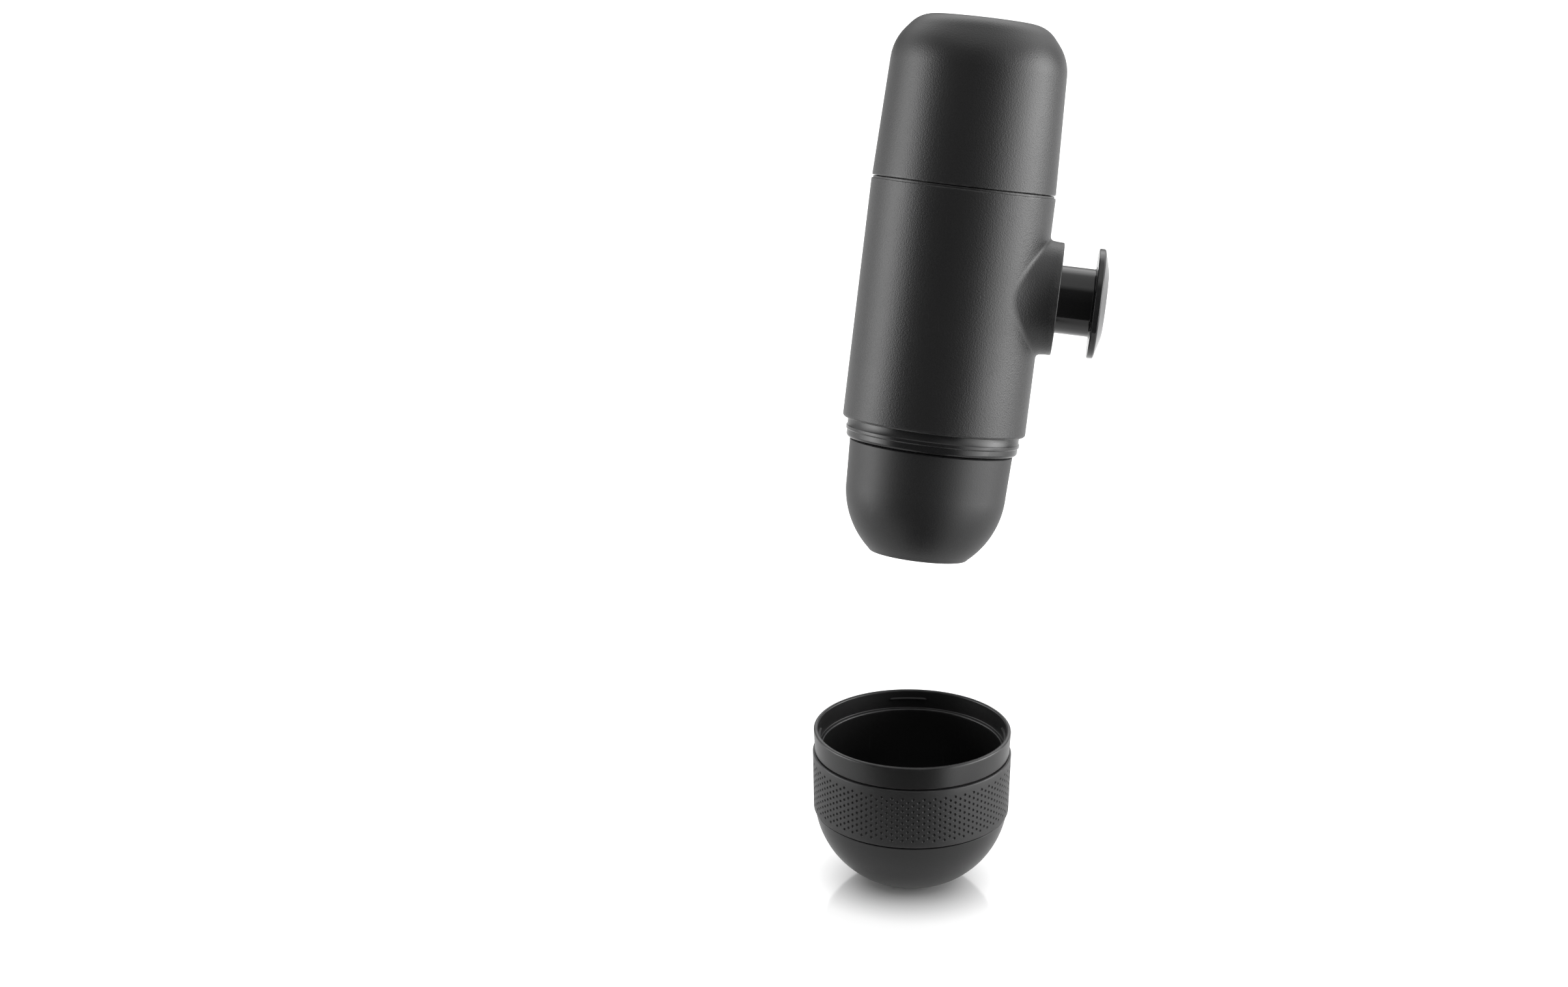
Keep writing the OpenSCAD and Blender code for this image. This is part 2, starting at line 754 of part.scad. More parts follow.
// Push knob: a round disc with a bevelled face, and a hub that plugs into the stem
module push_knob() {
    hub_r = stem_bore_r - fit;
    knob_r = knob_d / 2;
    color([0.03, 0.03, 0.032]) held() on_pump_axis() difference() {
        turned(rounded([
            [0, knob_x - knob_hub_len, 0],
            [hub_r, knob_x - knob_hub_len, 0.3],
            [hub_r, knob_x, 0],
            [knob_r, knob_x, 0.4],
            [knob_r, knob_x + knob_rim_t, 0.5],
            [knob_r * 0.6, knob_x + knob_t, 4],
            [0, knob_x + knob_t, 0]
        ]));
        translate([0, 0, knob_x - knob_hub_len - over])
            cylinder(d = rod_d + fit, h = knob_hub_len + over - 1.4);
    }
}

// ---- brew chamber ----

// Perforated steel disc that spreads the water over the coffee
module shower_screen() {
    color([0.75, 0.75, 0.76]) held() difference() {
        ring(screen_z, screen_z + screen_t, spigot_bore_r - fit, screw_r + fit);
        difference() {
            sieve_holes(spigot_bore_r - gasket_w - 1.2, screen_z - over, screen_t + 2 * over);
            translate([0, 0, screen_z - 2 * over])
                cylinder(r = screw_head_r + 1.6, h = screen_t + 4 * over);
        }
    }
}

// Screw that holds the shower screen to the roof of the brew chamber
module screen_screw() {
    color([0.72, 0.72, 0.74]) held() translate([0, 0, screen_z - screw_head_h]) difference() {
        union() {
            cylinder(r = screw_head_r, h = screw_head_h);
            cylinder(r = screw_r, h = screw_head_h + 8);
        }
        translate([-0.4, -screw_head_r, -over]) cube([0.8, 2 * screw_head_r, over + 0.7]);
    }
}

// Rubber ring that the basket's rim presses on
module brew_gasket() {
    color([0.3, 0.09, 0.06]) held()
        ring(gasket_z, gasket_z + gasket_h, spigot_bore_r - slip, spigot_bore_r - slip - gasket_w);
}

// Drawn steel basket for the ground coffee, with a rolled rim and a perforated floor
module filter_basket() {
    side_r = basket_r + basket_wall;
    rim_r = spigot_bore_r - slip;
    color([0.78, 0.78, 0.8]) held() difference() {
        turned(rounded([
            [0, basket_floor_z, 0],
            [side_r, basket_floor_z, 1.2],
            [side_r, basket_top_z - basket_rim_t, 0.2],
            [rim_r, basket_top_z - basket_rim_t, 0],
            [rim_r, basket_top_z, 0.2],
            [basket_r, basket_top_z, 0.2],
            [basket_r, basket_floor_z + basket_wall, 0.7],
            [0, basket_floor_z + basket_wall, 0]
        ]));
        sieve_holes(basket_r - 2.4, basket_floor_z - over, basket_wall + 2 * over);
    }
}

// Funnel insert of the outlet head that carries the basket
module filter_adapter() {
    funnel_r = basket_r - 2;
    color([0.09, 0.09, 0.095]) held() turned([
        [spout_r, nozzle_top_z],
        [nozzle_r, nozzle_top_z],
        [nozzle_r, nozzle_top_z + 1],
        [funnel_r + 0.4, adapter_floor_z],
        [adapter_r, adapter_floor_z],
        [adapter_r, adapter_top_z],
        [basket_r + basket_wall + fit, adapter_top_z],
        [basket_r + basket_wall + fit, basket_floor_z],
        [funnel_r, basket_floor_z],
        [spout_r, nozzle_top_z + 1.4]
    ]);
}

// Spout nozzle, pushed into the outlet head from inside
module spout_nozzle() {
    color([0.06, 0.06, 0.065]) held() turned(rounded([
        [spout_r, nozzle_z, 0.3],
        [nozzle_r, nozzle_z, 0.3],
        [nozzle_r, nozzle_floor, 0],
        [nozzle_flange_r, nozzle_floor, 0],
        [nozzle_flange_r, nozzle_floor + 1.2, 0.2],
        [nozzle_r, nozzle_floor + 1.2, 0],
        [nozzle_r, nozzle_top_z, 0],
        [spout_r, nozzle_top_z, 0]
    ]));
}

// Bowl-shaped head with the spout in its flat end
module outlet_head() {
    flat_r = head_flat_d / 2;
    bowl_c = [head_bowl_c, head_bowl_z];
    drop = head_bowl_z - head_edge_z;
    low = asin(drop / head_bowl_r);
    bore_low = asin((head_bowl_z - adapter_floor_z) / (head_bowl_r - head_wall));
    deep = asin((head_bowl_z - head_wall) / (head_bowl_r - head_wall));
    color([0.15, 0.15, 0.155]) held() difference() {
        turned(concat(
            [[0, 0], [flat_r, 0]],
            arc(bowl_c, head_bowl_r, -low, 0, 14),
            [[head_r, head_h - 0.4], [head_r - 0.4, head_h], [0, head_h]]
        ));
        turned(concat(
            [[0, head_wall]],
            arc(bowl_c, head_bowl_r - head_wall, -deep, -bore_low),
            [
                [adapter_r + fit, adapter_floor_z],
                [adapter_r + fit, adapter_top_z],
                [head_bore_r, adapter_top_z],
                [head_bore_r, head_h + over],
                [0, head_h + over]
            ]
        ));
        translate([0, 0, -over]) cylinder(r = nozzle_r + fit, h = head_wall + 2 * over);
    }
}

// ---- tank ----

// The tank's outside, from its flat end down to the seam, drawn in by w
function tank_outline(w) =
    let (
        end = [tank_end_d / 2, top_z],
        slant = [tank_top_d / 2, top_z - shoulder_h],
        foot = [tank_d / 2, seam_z + seam_w / 2],
        out1 = unit([shoulder_h, slant.x - end.x]),
        out2 = unit([slant.y - foot.y, foot.x - slant.x]),
        mid = unit(out1 + out2)
    )
    [
        [end.x - w * tan(acos(out1.y) / 2), top_z - w, tank_end_round - w],
        [slant.x - w * mid.x / (mid * out2), slant.y - w * mid.y / (mid * out2), tank_top_round - w],
        [foot.x - w, foot.y, 0]
    ];

// Water tank: a drawn-in shell with a flat end, and a threaded skirt under the seam
module tank() {
    foot_z = seam_z + seam_w / 2;
    color([0.16, 0.16, 0.165]) held() difference() {
        union() {
            turned(rounded(concat([[0, top_z, 0]], tank_outline(0), [[0, foot_z, 0]])));
            translate([0, 0, skirt_z]) cylinder(r = skirt_r, h = skirt_len + over);
        }
        turned(rounded(concat(
            [[0, top_z - tank_wall, 0]],
            [for (p = tank_outline(tank_wall)) if (p.z > 0) p],
            [
                [tank_outline(tank_wall)[2].x, foot_z + skirt_rise, 0],
                [skirt_r - skirt_wall, foot_z + skirt_root, 0],
                [skirt_r - skirt_wall, skirt_z - over, 0],
                [0, skirt_z - over, 0]
            ]
        )));
    }
}

// Flat gasket on the seat's floor that the skirt presses on
module tank_gasket() {
    floor_z = block_top_z + seat_floor_t;
    color([0.3, 0.3, 0.3]) held()
        ring(floor_z + run, floor_z + tank_gasket_h, skirt_r + 0.6, skirt_r - skirt_wall - 0.8);
}

// ---- cup ----

// Cup: a round bowl on a flat foot, a bed for the grip band, and a recessed mouth
module cup() {
    wall_top_r = cup_r - cup_draft;
    bowl = [cup_bowl_c, cup_bowl_z];
    start = asin((cup_bowl_z - grip_z + 0.4) / cup_bowl_r);
    low = asin((cup_bowl_z - 0.5) / cup_bowl_r);
    deep = asin((cup_bowl_z - cup_floor_t) / (cup_inner_r - cup_bowl_c));
    color([0.08, 0.08, 0.085]) {
        difference() {
            turned(rounded(concat(
                [[0, 0, 0], [foot_d / 2, 0, 0.3]],
                sharp(arc(bowl, cup_bowl_r, -low, -start, 14)),
                [
                    [grip_bed_r, grip_z - 0.4, 0],
                    [grip_bed_r, grip_top_z + groove_h, 0],
                    [wall_top_r, grip_top_z + groove_h, 0.3],
                    [cup_r, cup_h, 0.6],
                    [mouth_r + 0.5, cup_h, 0.4],
                    [mouth_r, cup_h - mouth_depth, 0],
                    [0, cup_h - mouth_depth, 0]
                ]
            )));
            turned(concat(
                [[0, cup_floor_t]],
                arc(bowl, cup_inner_r - cup_bowl_c, -deep, 0, 14),
                [
                    [cup_inner_r, cup_h - mouth_depth - 0.6],
                    [cup_inner_r + 0.6, cup_h - mouth_depth + over],
                    [0, cup_h - mouth_depth + over]
                ]
            ));
        }
        for (a = [0:90:270]) rotate([0, 0, a - lug_arc / 2])
            rotate_extrude(angle = lug_arc) translate([mouth_r - lug_in, lug_z])
                square([lug_in + 0.5, lug_h]);
    }
}

// Rubber band stretched round the cup
module cup_grip() {
    color([0.11, 0.11, 0.11]) turned(rounded([
        [grip_bed_r, grip_z, 0],
        [grip_r - 0.4, grip_z, 0.3],
        [grip_r, grip_top_z, 0.4],
        [grip_bed_r, grip_top_z, 0]
    ]));
}

body_shell();
neck_ring();
neck_screws();
pump_block();
tank_seat();
vent_valve();
inlet_cage();
inlet_ball();
inlet_seat();
pump_cylinder();
guide_collar();
wiper_seal();
spring_washer();
return_spring();
piston_head();
piston_seal();
piston_rod();
piston_stem();
push_knob();
outlet_valve();
shower_screen();
screen_screw();
brew_gasket();
filter_basket();
filter_adapter();
spout_nozzle();
outlet_head();
tank();
tank_gasket();
cup();
cup_grip();
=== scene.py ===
# A handheld manual espresso maker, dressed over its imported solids. The maker's pieces are
# drawn upright in millimetres, with the middle of the spout's end at nought, and are then
# lifted and tilted to where the maker hangs above its cup. The cup is drawn in millimetres
# where it stands. A profile's corners are (radius, height) or (radius, height, rounding).
from math import atan2, ceil, cos, hypot, pi, radians, sin, sqrt, tan, tau

import bmesh
import bpy
from mathutils import Matrix, Vector


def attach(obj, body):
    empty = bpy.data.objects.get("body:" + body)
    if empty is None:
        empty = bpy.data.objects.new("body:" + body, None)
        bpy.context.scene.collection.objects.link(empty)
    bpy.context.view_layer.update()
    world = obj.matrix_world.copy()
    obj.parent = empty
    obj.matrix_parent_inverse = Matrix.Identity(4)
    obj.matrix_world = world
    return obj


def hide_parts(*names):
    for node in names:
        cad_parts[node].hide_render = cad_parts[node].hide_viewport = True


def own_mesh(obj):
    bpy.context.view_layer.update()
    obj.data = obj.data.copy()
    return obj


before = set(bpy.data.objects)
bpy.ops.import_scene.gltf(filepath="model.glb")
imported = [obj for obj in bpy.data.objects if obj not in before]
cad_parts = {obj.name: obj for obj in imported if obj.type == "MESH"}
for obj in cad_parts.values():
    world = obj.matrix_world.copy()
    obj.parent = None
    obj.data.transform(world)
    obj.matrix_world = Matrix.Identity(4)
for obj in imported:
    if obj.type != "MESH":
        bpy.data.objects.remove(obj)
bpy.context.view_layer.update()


# ---- Pump block ----
# The core that everything is fixed to: two round plates on crossed ribs, the barrel across
# it and the spigot of the brew chamber. Glass-filled nylon, left as it comes out of the
# mould. The three-start thread of the spigot is part of the same moulding.

MM = Matrix.Scale(0.001, 4)
spout_end = (4.2, 66.8, 81.9)
lean_back, lean_right, knob_forward = 11.6, 6.7, 5
TILTED = (
    MM
    @ Matrix.Translation(spout_end)
    @ Matrix.Rotation(radians(-lean_back), 4, "X")
    @ Matrix.Rotation(radians(lean_right), 4, "Y")
    @ Matrix.Rotation(radians(-knob_forward), 4, "Z")
)
NUMBER, WHOLE, VECTOR = "NodeSocketFloat", "NodeSocketInt", "NodeSocketVector"
GEOMETRY, MATERIAL = "NodeSocketGeometry", "NodeSocketMaterial"


def new_tree(kind, name, takes, gives):
    """A node tree with named inputs, each a kind of socket or a number, and named outputs."""
    tree = bpy.data.node_groups.new(name, kind)
    for key, value in takes.items():
        socket_kind = {int: WHOLE, float: NUMBER}.get(type(value), value)
        socket = tree.interface.new_socket(key, in_out="INPUT", socket_type=socket_kind)
        if socket_kind != value:
            socket.default_value = value
    for key, socket_kind in gives.items():
        tree.interface.new_socket(key, in_out="OUTPUT", socket_type=socket_kind)
    return tree, tree.nodes.new("NodeGroupInput").outputs, tree.nodes.new("NodeGroupOutput")


def feed(node, inputs):
    """Sets the inputs of a node to values or links them to sockets."""
    for key, value in dict(inputs).items():
        if isinstance(value, bpy.types.NodeSocket):
            node.id_data.links.new(value, node.inputs[key])
        else:
            node.inputs[key].default_value = value


def wire(tree, kind, inputs=(), output=0, **settings):
    """Adds a node with its settings, feeds its inputs, and returns one of its outputs."""
    node = tree.nodes.new(kind)
    for name, value in settings.items():
        setattr(node, name, value)
    feed(node, inputs)
    return node.outputs[output]


def calc(operation, *values):
    """One step of arithmetic, in the tree that its sockets belong to."""
    tree = next(value.id_data for value in values if isinstance(value, bpy.types.NodeSocket))
    return wire(tree, "ShaderNodeMath", enumerate(values), operation=operation)


def product(first, *others):
    """All the values multiplied, from left to right."""
    for other in others:
        first = calc("MULTIPLY", first, other)
    return first


def ramp(value, low, high, **settings):
    """0 below low, 1 above high, and straight between them unless the settings say otherwise."""
    stretch = {"Value": value, "From Min": low, "From Max": high}
    return wire(value.id_data, "ShaderNodeMapRange", stretch, **settings)


def tint(factor, first, second):
    """A colour between two colours."""
    colours = {0: factor, 6: first, 7: second}
    return wire(factor.id_data, "ShaderNodeMix", colours, output=2, data_type="RGBA")


def noise(place, scale, detail=1.0):
    """Soft random patches, by their number in a metre."""
    patches = {"Vector": place, "Scale": scale, "Detail": detail}
    return wire(place.id_data, "ShaderNodeTexNoise", patches)


def spark_grain():
    """The fine leathery grain that a spark-eroded mould leaves on plastic."""
    tree, given, gives = new_tree(
        "ShaderNodeTree", "spark grain",
        {"Position": VECTOR, "Grain": 0.4},
        {"Height": NUMBER, "Fleck": NUMBER},
    )
    place = given["Position"]
    per_metre = calc("DIVIDE", 1000.0, given["Grain"])
    cell = {"Vector": place, "Scale": per_metre}
    cells = wire(tree, "ShaderNodeTexVoronoi", cell, feature="SMOOTH_F1")
    cell_share = crumb_share = 0.6
    crumbs = product(noise(place, per_metre, 2.0), crumb_share)
    feed(gives, {
        "Height": calc("MULTIPLY_ADD", cells, cell_share, crumbs),
        "Fleck": noise(place, per_metre),
    })
    return tree


def handling():
    """Marks of use: patches of rubbed edge, smudges, and a few hair scratches that lie one way."""
    tree, given, gives = new_tree(
        "ShaderNodeTree", "handling",
        {"Position": VECTOR, "Edge": 0.0},
        {"Rubbed": NUMBER, "Smudge": NUMBER, "Scratch": NUMBER},
    )
    place = given["Position"]
    patches, smudges, scratched_areas, hairs_each_way = 300.0, 38.0, 55.0, (2600.0, 90.0, 130.0)
    hair = {"Vector": place, "Rotation": (0.3, 0.5, 0.2), "Scale": hairs_each_way}
    hairs = ramp(noise(wire(tree, "ShaderNodeMapping", hair), 1.0), 0.68, 0.74)
    feed(gives, {
        "Rubbed": product(given["Edge"], ramp(noise(place, patches, 3.0), 0.36, 0.62)),
        "Smudge": noise(place, smudges, 3.0),
        "Scratch": product(hairs, ramp(noise(place, scratched_areas), 0.56, 0.66)),
    })
    return tree


GRAIN, HANDLING = spark_grain(), handling()


def new_material(name):
    """A material with its shader, the place on the object and the marks of use."""
    material = bpy.data.materials.new(name)
    material.use_nodes = True
    tree = material.node_tree
    place = wire(tree, "ShaderNodeTexCoord", output="Object")
    edge = wire(tree, "ShaderNodeAttribute", output="Fac", attribute_name="edge")
    marks = wire(tree, "ShaderNodeGroup", {"Position": place, "Edge": edge}, node_tree=HANDLING)
    return material, tree.nodes["Principled BSDF"], place, marks.node.outputs


def shade(colour, times, plus=0.0):
    """A colour made darker or lighter."""
    return (*(min(1.0, times * channel + plus) for channel in colour), 1.0)


def relief(height, depth):
    """Dents and crests of a depth in millimetres."""
    bump = {"Height": height, "Distance": depth / 1000, "Strength": 1.0}
    return wire(height.id_data, "ShaderNodeBump", bump)


def moulded(name, colour, roughness, grain=0.4, depth=0.012, rubbed=0.5, uneven=0.1, specular=0.5):
    """Moulded plastic or rubber, with a grain of that size and depth in millimetres, and used."""
    material, shader, place, used = new_material(name)
    takes = {"Position": place, "Grain": grain}
    skin = wire(material.node_tree, "ShaderNodeGroup", takes, node_tree=GRAIN).node.outputs
    scratched, polish = 0.35, 0.12
    marks = calc("MAXIMUM", product(used["Rubbed"], rubbed), product(used["Scratch"], scratched))
    paint = tint(skin["Fleck"], shade(colour, 0.85), shade(colour, 1.15))
    sheen = calc("MULTIPLY_ADD", used["Smudge"], uneven, roughness - uneven / 2)
    feed(shader, {
        "Base Color": tint(marks, paint, shade(colour, 1.6, 0.02)),
        "Roughness": calc("MULTIPLY_ADD", marks, -polish, sheen),
        "Specular IOR Level": specular,
        "Normal": relief(skin["Height"], depth),
    })
    return material


def finish_node(name, material):
    """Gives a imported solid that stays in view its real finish."""
    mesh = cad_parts[name].data
    mesh.materials.clear()
    mesh.materials.append(material)


def linked(name, data):
    """A new object in the scene, whose data takes its name."""
    data.name = name
    piece = bpy.data.objects.new(name, data)
    bpy.context.scene.collection.objects.link(piece)
    return piece


def as_evaluated(piece):
    """The plain mesh that an object's modifier makes."""
    seen = piece.evaluated_get(bpy.context.evaluated_depsgraph_get())
    return bpy.data.meshes.new_from_object(seen)


def grow(tree, material, sizes, start=None):
    """Runs a geometry tree with the given sizes on a start mesh, and returns a plain mesh."""
    carrier = linked(tree.name, start or bpy.data.meshes.new(tree.name))
    modifier = carrier.modifiers.new("grow", "NODES")
    modifier.node_group = tree
    values = {**sizes, "Material": material}
    for socket in tree.interface.items_tree:
        if socket.in_out == "INPUT" and socket.name in values:
            modifier[socket.identifier] = values[socket.name]
    carrier.data.update()
    mesh = as_evaluated(carrier)
    carrier.modifiers.remove(modifier)
    bpy.data.objects.remove(carrier)
    return mesh


def shown(name, mesh, body, *replaced):
    """Puts a finished mesh in view as a piece that rides on a body of the maker."""
    piece = linked(name, mesh)
    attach(piece, body)
    if replaced:
        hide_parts(*replaced)
    return piece


def geometry_tree(name, takes):
    """A tree that makes a mesh of one material."""
    return new_tree("GeometryNodeTree", name, {**takes, "Material": MATERIAL}, {"Geometry": GEOMETRY})


def real(geometry):
    """Copies made into a mesh of their own."""
    return wire(geometry.id_data, "GeometryNodeRealizeInstances", {"Geometry": geometry})


def deliver(given, gives, geometry):
    """Ends a geometry tree: its copies become real and get their material."""
    done = {"Geometry": real(geometry), "Material": given["Material"]}
    feed(gives, {"Geometry": wire(gives.id_data, "GeometryNodeSetMaterial", done)})
    return gives.id_data


def moved(geometry, place):
    """A mesh or a line with each of its points put in a new place."""
    points = {"Geometry": geometry, "Position": place}
    return wire(geometry.id_data, "GeometryNodeSetPosition", points)


def welded(geometry):
    """Points that meet, made one."""
    pairs = {"Geometry": geometry, "Distance": 0.002}
    return wire(geometry.id_data, "GeometryNodeMergeByDistance", pairs)


def axes(place):
    """A place's X, Y and Z."""
    return wire(place.id_data, "ShaderNodeSeparateXYZ", {0: place}).node.outputs


def point(tree, **along):
    """A place, from its X, Y and Z."""
    return wire(tree, "ShaderNodeCombineXYZ", along)


def whole(value):
    """A number as a count."""
    return wire(value.id_data, "FunctionNodeFloatToInt", {0: value})


def around(radius, turn, height=0.0):
    """A place by its distance from the upright axis, its turn in radians and its height."""
    across, back = calc("COSINE", turn), calc("SINE", turn)
    return point(turn.id_data, X=product(radius, across), Y=product(radius, back), Z=height)


def spots(count, place):
    """So many points, each in its place."""
    return wire(place.id_data, "GeometryNodePoints", {"Count": count, "Position": place})


def copies(piece, points, **facing):
    """A copy of a piece on each point."""
    placed = {"Points": points, "Instance": piece, **facing}
    return wire(piece.id_data, "GeometryNodeInstanceOnPoints", placed)


def in_a_ring(piece, count, radius=0.0, first_angle=0.0):
    """Copies of a piece at equal turns round the upright axis."""
    tree = piece.id_data
    share = calc("DIVIDE", wire(tree, "GeometryNodeInputIndex"), count)
    turn = calc("MULTIPLY_ADD", share, tau, first_angle)
    return copies(piece, spots(count, around(radius, turn)), Rotation=point(tree, Z=turn))


def screw_thread():
    """Equal ridges round the upright axis, which rise by Lead a turn and run out at their ends."""
    tree, given, gives = geometry_tree("screw thread", {
        "Radius": 22.3, "Stands out": 0.8, "Width": 1.2, "Lead": 9.6, "Turns": 1.0, "Starts": 3,
        "Bottom": 0.0, "Steps": 96,
    })
    section = [(-0.25, -0.5), (1.0, -0.2), (1.0, 0.2), (-0.25, 0.5), (-0.25, -0.5)]
    sides = len(section) - 1
    sunk, run_out = 0.02, 0.06
    strip = wire(tree, "GeometryNodeMeshGrid", {
        "Size X": 1.0, "Size Y": 1.0, "Vertices X": given["Steps"], "Vertices Y": sides + 1,
    })
    at = axes(wire(tree, "GeometryNodeInputPosition"))
    along = calc("ADD", at["X"], 0.5)
    corner = whole(product(calc("ADD", at["Y"], 0.5), float(sides)))

    def by_corner(values):
        switch = wire(tree, "GeometryNodeIndexSwitch", {"Index": corner}, data_type="FLOAT").node
        while len(switch.index_switch_items) < len(values):
            switch.index_switch_items.new()
        feed(switch, enumerate(values, start=1))
        return switch.outputs[0]

    ends = calc("MINIMUM", along, calc("SUBTRACT", 1.0, along))
    swell = ramp(ends, 0.0, run_out, interpolation_type="SMOOTHSTEP")
    reach = product(by_corner([out for out, _ in section]), given["Stands out"], swell)
    proud = calc("SUBTRACT", reach, product(given["Stands out"], sunk))
    radius = calc("ADD", given["Radius"], proud)
    turns = product(along, given["Turns"])
    thick = product(by_corner([up for _, up in section]), given["Width"], swell)
    climb = calc("ADD", product(turns, given["Lead"]), thick)
    height = calc("ADD", given["Bottom"], climb)
    place = around(radius, product(turns, tau), height)
    return deliver(given, gives, in_a_ring(welded(moved(strip, place)), given["Starts"]))


THREAD = screw_thread()


def spaced(sizes):
    """Sizes by the names of a tree's inputs, which have spaces."""
    return {key.replace("_", " "): value for key, value in sizes.items()}


def face_out(bm):
    """Turns every face of a closed mesh outwards."""
    bmesh.ops.recalc_face_normals(bm, faces=bm.faces)


def threaded(name, body, material, place=TILTED, **sizes):
    """A thread or a row of lugs as a piece of its own, smooth along its ridge."""
    ridge_crease = radians(40)
    mesh = grow(THREAD, material, spaced(sizes))
    bm = bmesh.new()
    bm.from_mesh(mesh)
    face_out(bm)
    bm.to_mesh(mesh)
    bm.free()
    mesh.transform(place)
    mesh.shade_smooth()
    mesh.set_sharp_from_angle(angle=ridge_crease)
    return shown(name, mesh, body)


block_nylon = moulded("block nylon", (0.03, 0.03, 0.032), 0.5, grain=0.7, depth=0.02)
finish_node("pump_block", block_nylon)
spigot_r, spigot_z = 22.3, 22.3
HEAD_THREAD = {"Lead": 9.6, "Turns": 0.9, "Starts": 3, "Steps": 120}
threaded("spigot_thread", "maker", block_nylon, **HEAD_THREAD,
         Radius=spigot_r, Stands_out=0.8, Width=1.3, Bottom=spigot_z + 2.0)


# ---- Inlet check valve ----
# A cage, a polished ball and a seat, pressed into the water column behind the barrel. The
# cage and seat are pale acetal, turned smooth, and the ball is stainless steel.

def steel(name, colour, roughness, brushed=0.0, lay=(1.0, 1.0, 1.0)):
    """Stainless steel: fine lines along its lay, faint stains, and brighter rubbed edges."""
    material, shader, place, used = new_material(name)
    lines_a_metre = 1500.0
    lay_of = {"Vector": place, "Scale": tuple(lines_a_metre * v for v in lay)}
    lines = noise(wire(material.node_tree, "ShaderNodeMapping", lay_of), 1.0, 2.0)
    stain_share, line_share, uneven, lined = 0.7, 0.3, 0.12, 0.1
    stained = calc("MULTIPLY_ADD", used["Smudge"], stain_share, product(lines, line_share))
    shine = calc("MAXIMUM", stained, used["Rubbed"])
    smooth = calc("MULTIPLY_ADD", used["Smudge"], uneven, roughness - uneven / 2)
    feed(shader, {
        "Metallic": 1.0,
        "Base Color": tint(shine, shade(colour, 0.86), shade(colour, 1.1)),
        "Roughness": calc("MULTIPLY_ADD", lines, lined, smooth),
        "Normal": relief(lines, brushed),
    })
    return material


acetal = moulded("acetal", (0.62, 0.61, 0.57), 0.38, grain=0.5, depth=0.004)
finish_node("inlet_cage", acetal)
finish_node("inlet_seat", acetal)
finish_node("inlet_ball", steel("polished ball", (0.66, 0.66, 0.68), 0.12))


# ---- Pump cylinder, piston and seals ----
# The barrel is lined with a drawn steel tube. A nylon piston head with a red rubber ring
# runs in it on a ground steel rod, whose other end is fixed in the push knob.

bright_steel, seal_red = (0.6, 0.6, 0.62), (0.24, 0.045, 0.03)
honed = steel("honed liner", bright_steel, 0.28, brushed=0.004, lay=(0.3, 1.0, 1.0))
finish_node("pump_cylinder", honed)
piston_nylon = moulded("piston nylon", (0.028, 0.028, 0.03), 0.42, grain=0.5, depth=0.008)
finish_node("piston_head", piston_nylon)
finish_node("piston_seal", moulded("seal rubber", seal_red, 0.55, grain=0.3, depth=0.006))
ground = steel("ground rod", (0.64, 0.64, 0.66), 0.2, brushed=0.003, lay=(1.0, 0.2, 0.2))
finish_node("piston_rod", ground)


# ---- Spring and washer ----
# A coil of hard-drawn stainless wire pushes the piston out again. Its end turns lie closed,
# and it stands on a punched washer that lets it turn with the knob.

# Pieces on the pump are drawn upright and laid along its axis, so a height there is called x.
pump_z = 88.3
ON_PUMP = TILTED @ Matrix.Translation((0, 0, pump_z)) @ Matrix.Rotation(radians(90), 4, "Y")


def circle(radius, steps):
    """A circle to punch or sweep."""
    sizes = {"Resolution": steps, "Radius": radius}
    return wire(radius.id_data, "GeometryNodeCurvePrimitiveCircle", sizes)


def coil():
    """A wire wound on a helix round the upright axis, with its end turns closed up."""
    tree, given, gives = geometry_tree("coil", {
        "Radius": 5.0, "Wire": 1.2, "Length": 20.0, "Turns": 8.0, "Start": 0.0, "Steps a turn": 28,
    })
    closed_turns, closed_rise, clearance = 0.6, 0.4, 1.1
    steps = calc("ADD", product(given["Turns"], given["Steps a turn"]), 1.0)
    line = wire(tree, "GeometryNodeCurvePrimitiveLine", {"Start": (0, 0, 0), "End": (1, 0, 0)})
    line = wire(tree, "GeometryNodeResampleCurve", {"Curve": line, "Count": whole(steps)})
    along = wire(tree, "GeometryNodeSplineParameter")
    end = product(calc("DIVIDE", 1.0, given["Turns"]), closed_turns)
    climb = ramp(along, end, calc("SUBTRACT", 1.0, end))
    ahead = product(calc("SUBTRACT", along, climb), product(given["Wire"], given["Turns"]))
    open_length = calc("SUBTRACT", given["Length"], product(given["Wire"], 2 * clearance))
    rise = calc("MULTIPLY_ADD", climb, open_length, product(ahead, closed_rise))
    rise = calc("ADD", product(given["Wire"], clearance), rise)
    turn = product(along, given["Turns"], tau)
    place = around(given["Radius"], turn, calc("ADD", given["Start"], rise))
    path = wire(tree, "GeometryNodeSetCurveNormal", {"Curve": moved(line, place)}, mode="Z_UP")
    section = circle(product(given["Wire"], 0.5), 12)
    swept = {"Curve": path, "Profile Curve": section, "Fill Caps": True}
    wound = wire(tree, "GeometryNodeCurveToMesh", swept)
    smooth = wire(tree, "GeometryNodeSetShadeSmooth", {"Geometry": wound})
    return deliver(given, gives, smooth)


spring_x, spring_end_x, spring_r, wire_d = 8.9, 39.8, 6.45, 1.2
spring_steel = steel("spring wire", bright_steel, 0.25)
spring_mesh = grow(coil(), spring_steel, {
    "Radius": spring_r, "Wire": wire_d, "Turns": 7.0, "Length": spring_end_x - spring_x,
    "Start": spring_x,
})
spring_mesh.transform(ON_PUMP)
spring = shown("spring", spring_mesh, "spring_seat", "return_spring")
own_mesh(spring)
finish_node("spring_washer", steel("washer steel", bright_steel, 0.3))


# ---- Brew chamber ----
# A perforated steel screen on one pan screw spreads the water that comes in through a
# silicone duckbill, and a red rubber ring seals the rim of the basket under it.

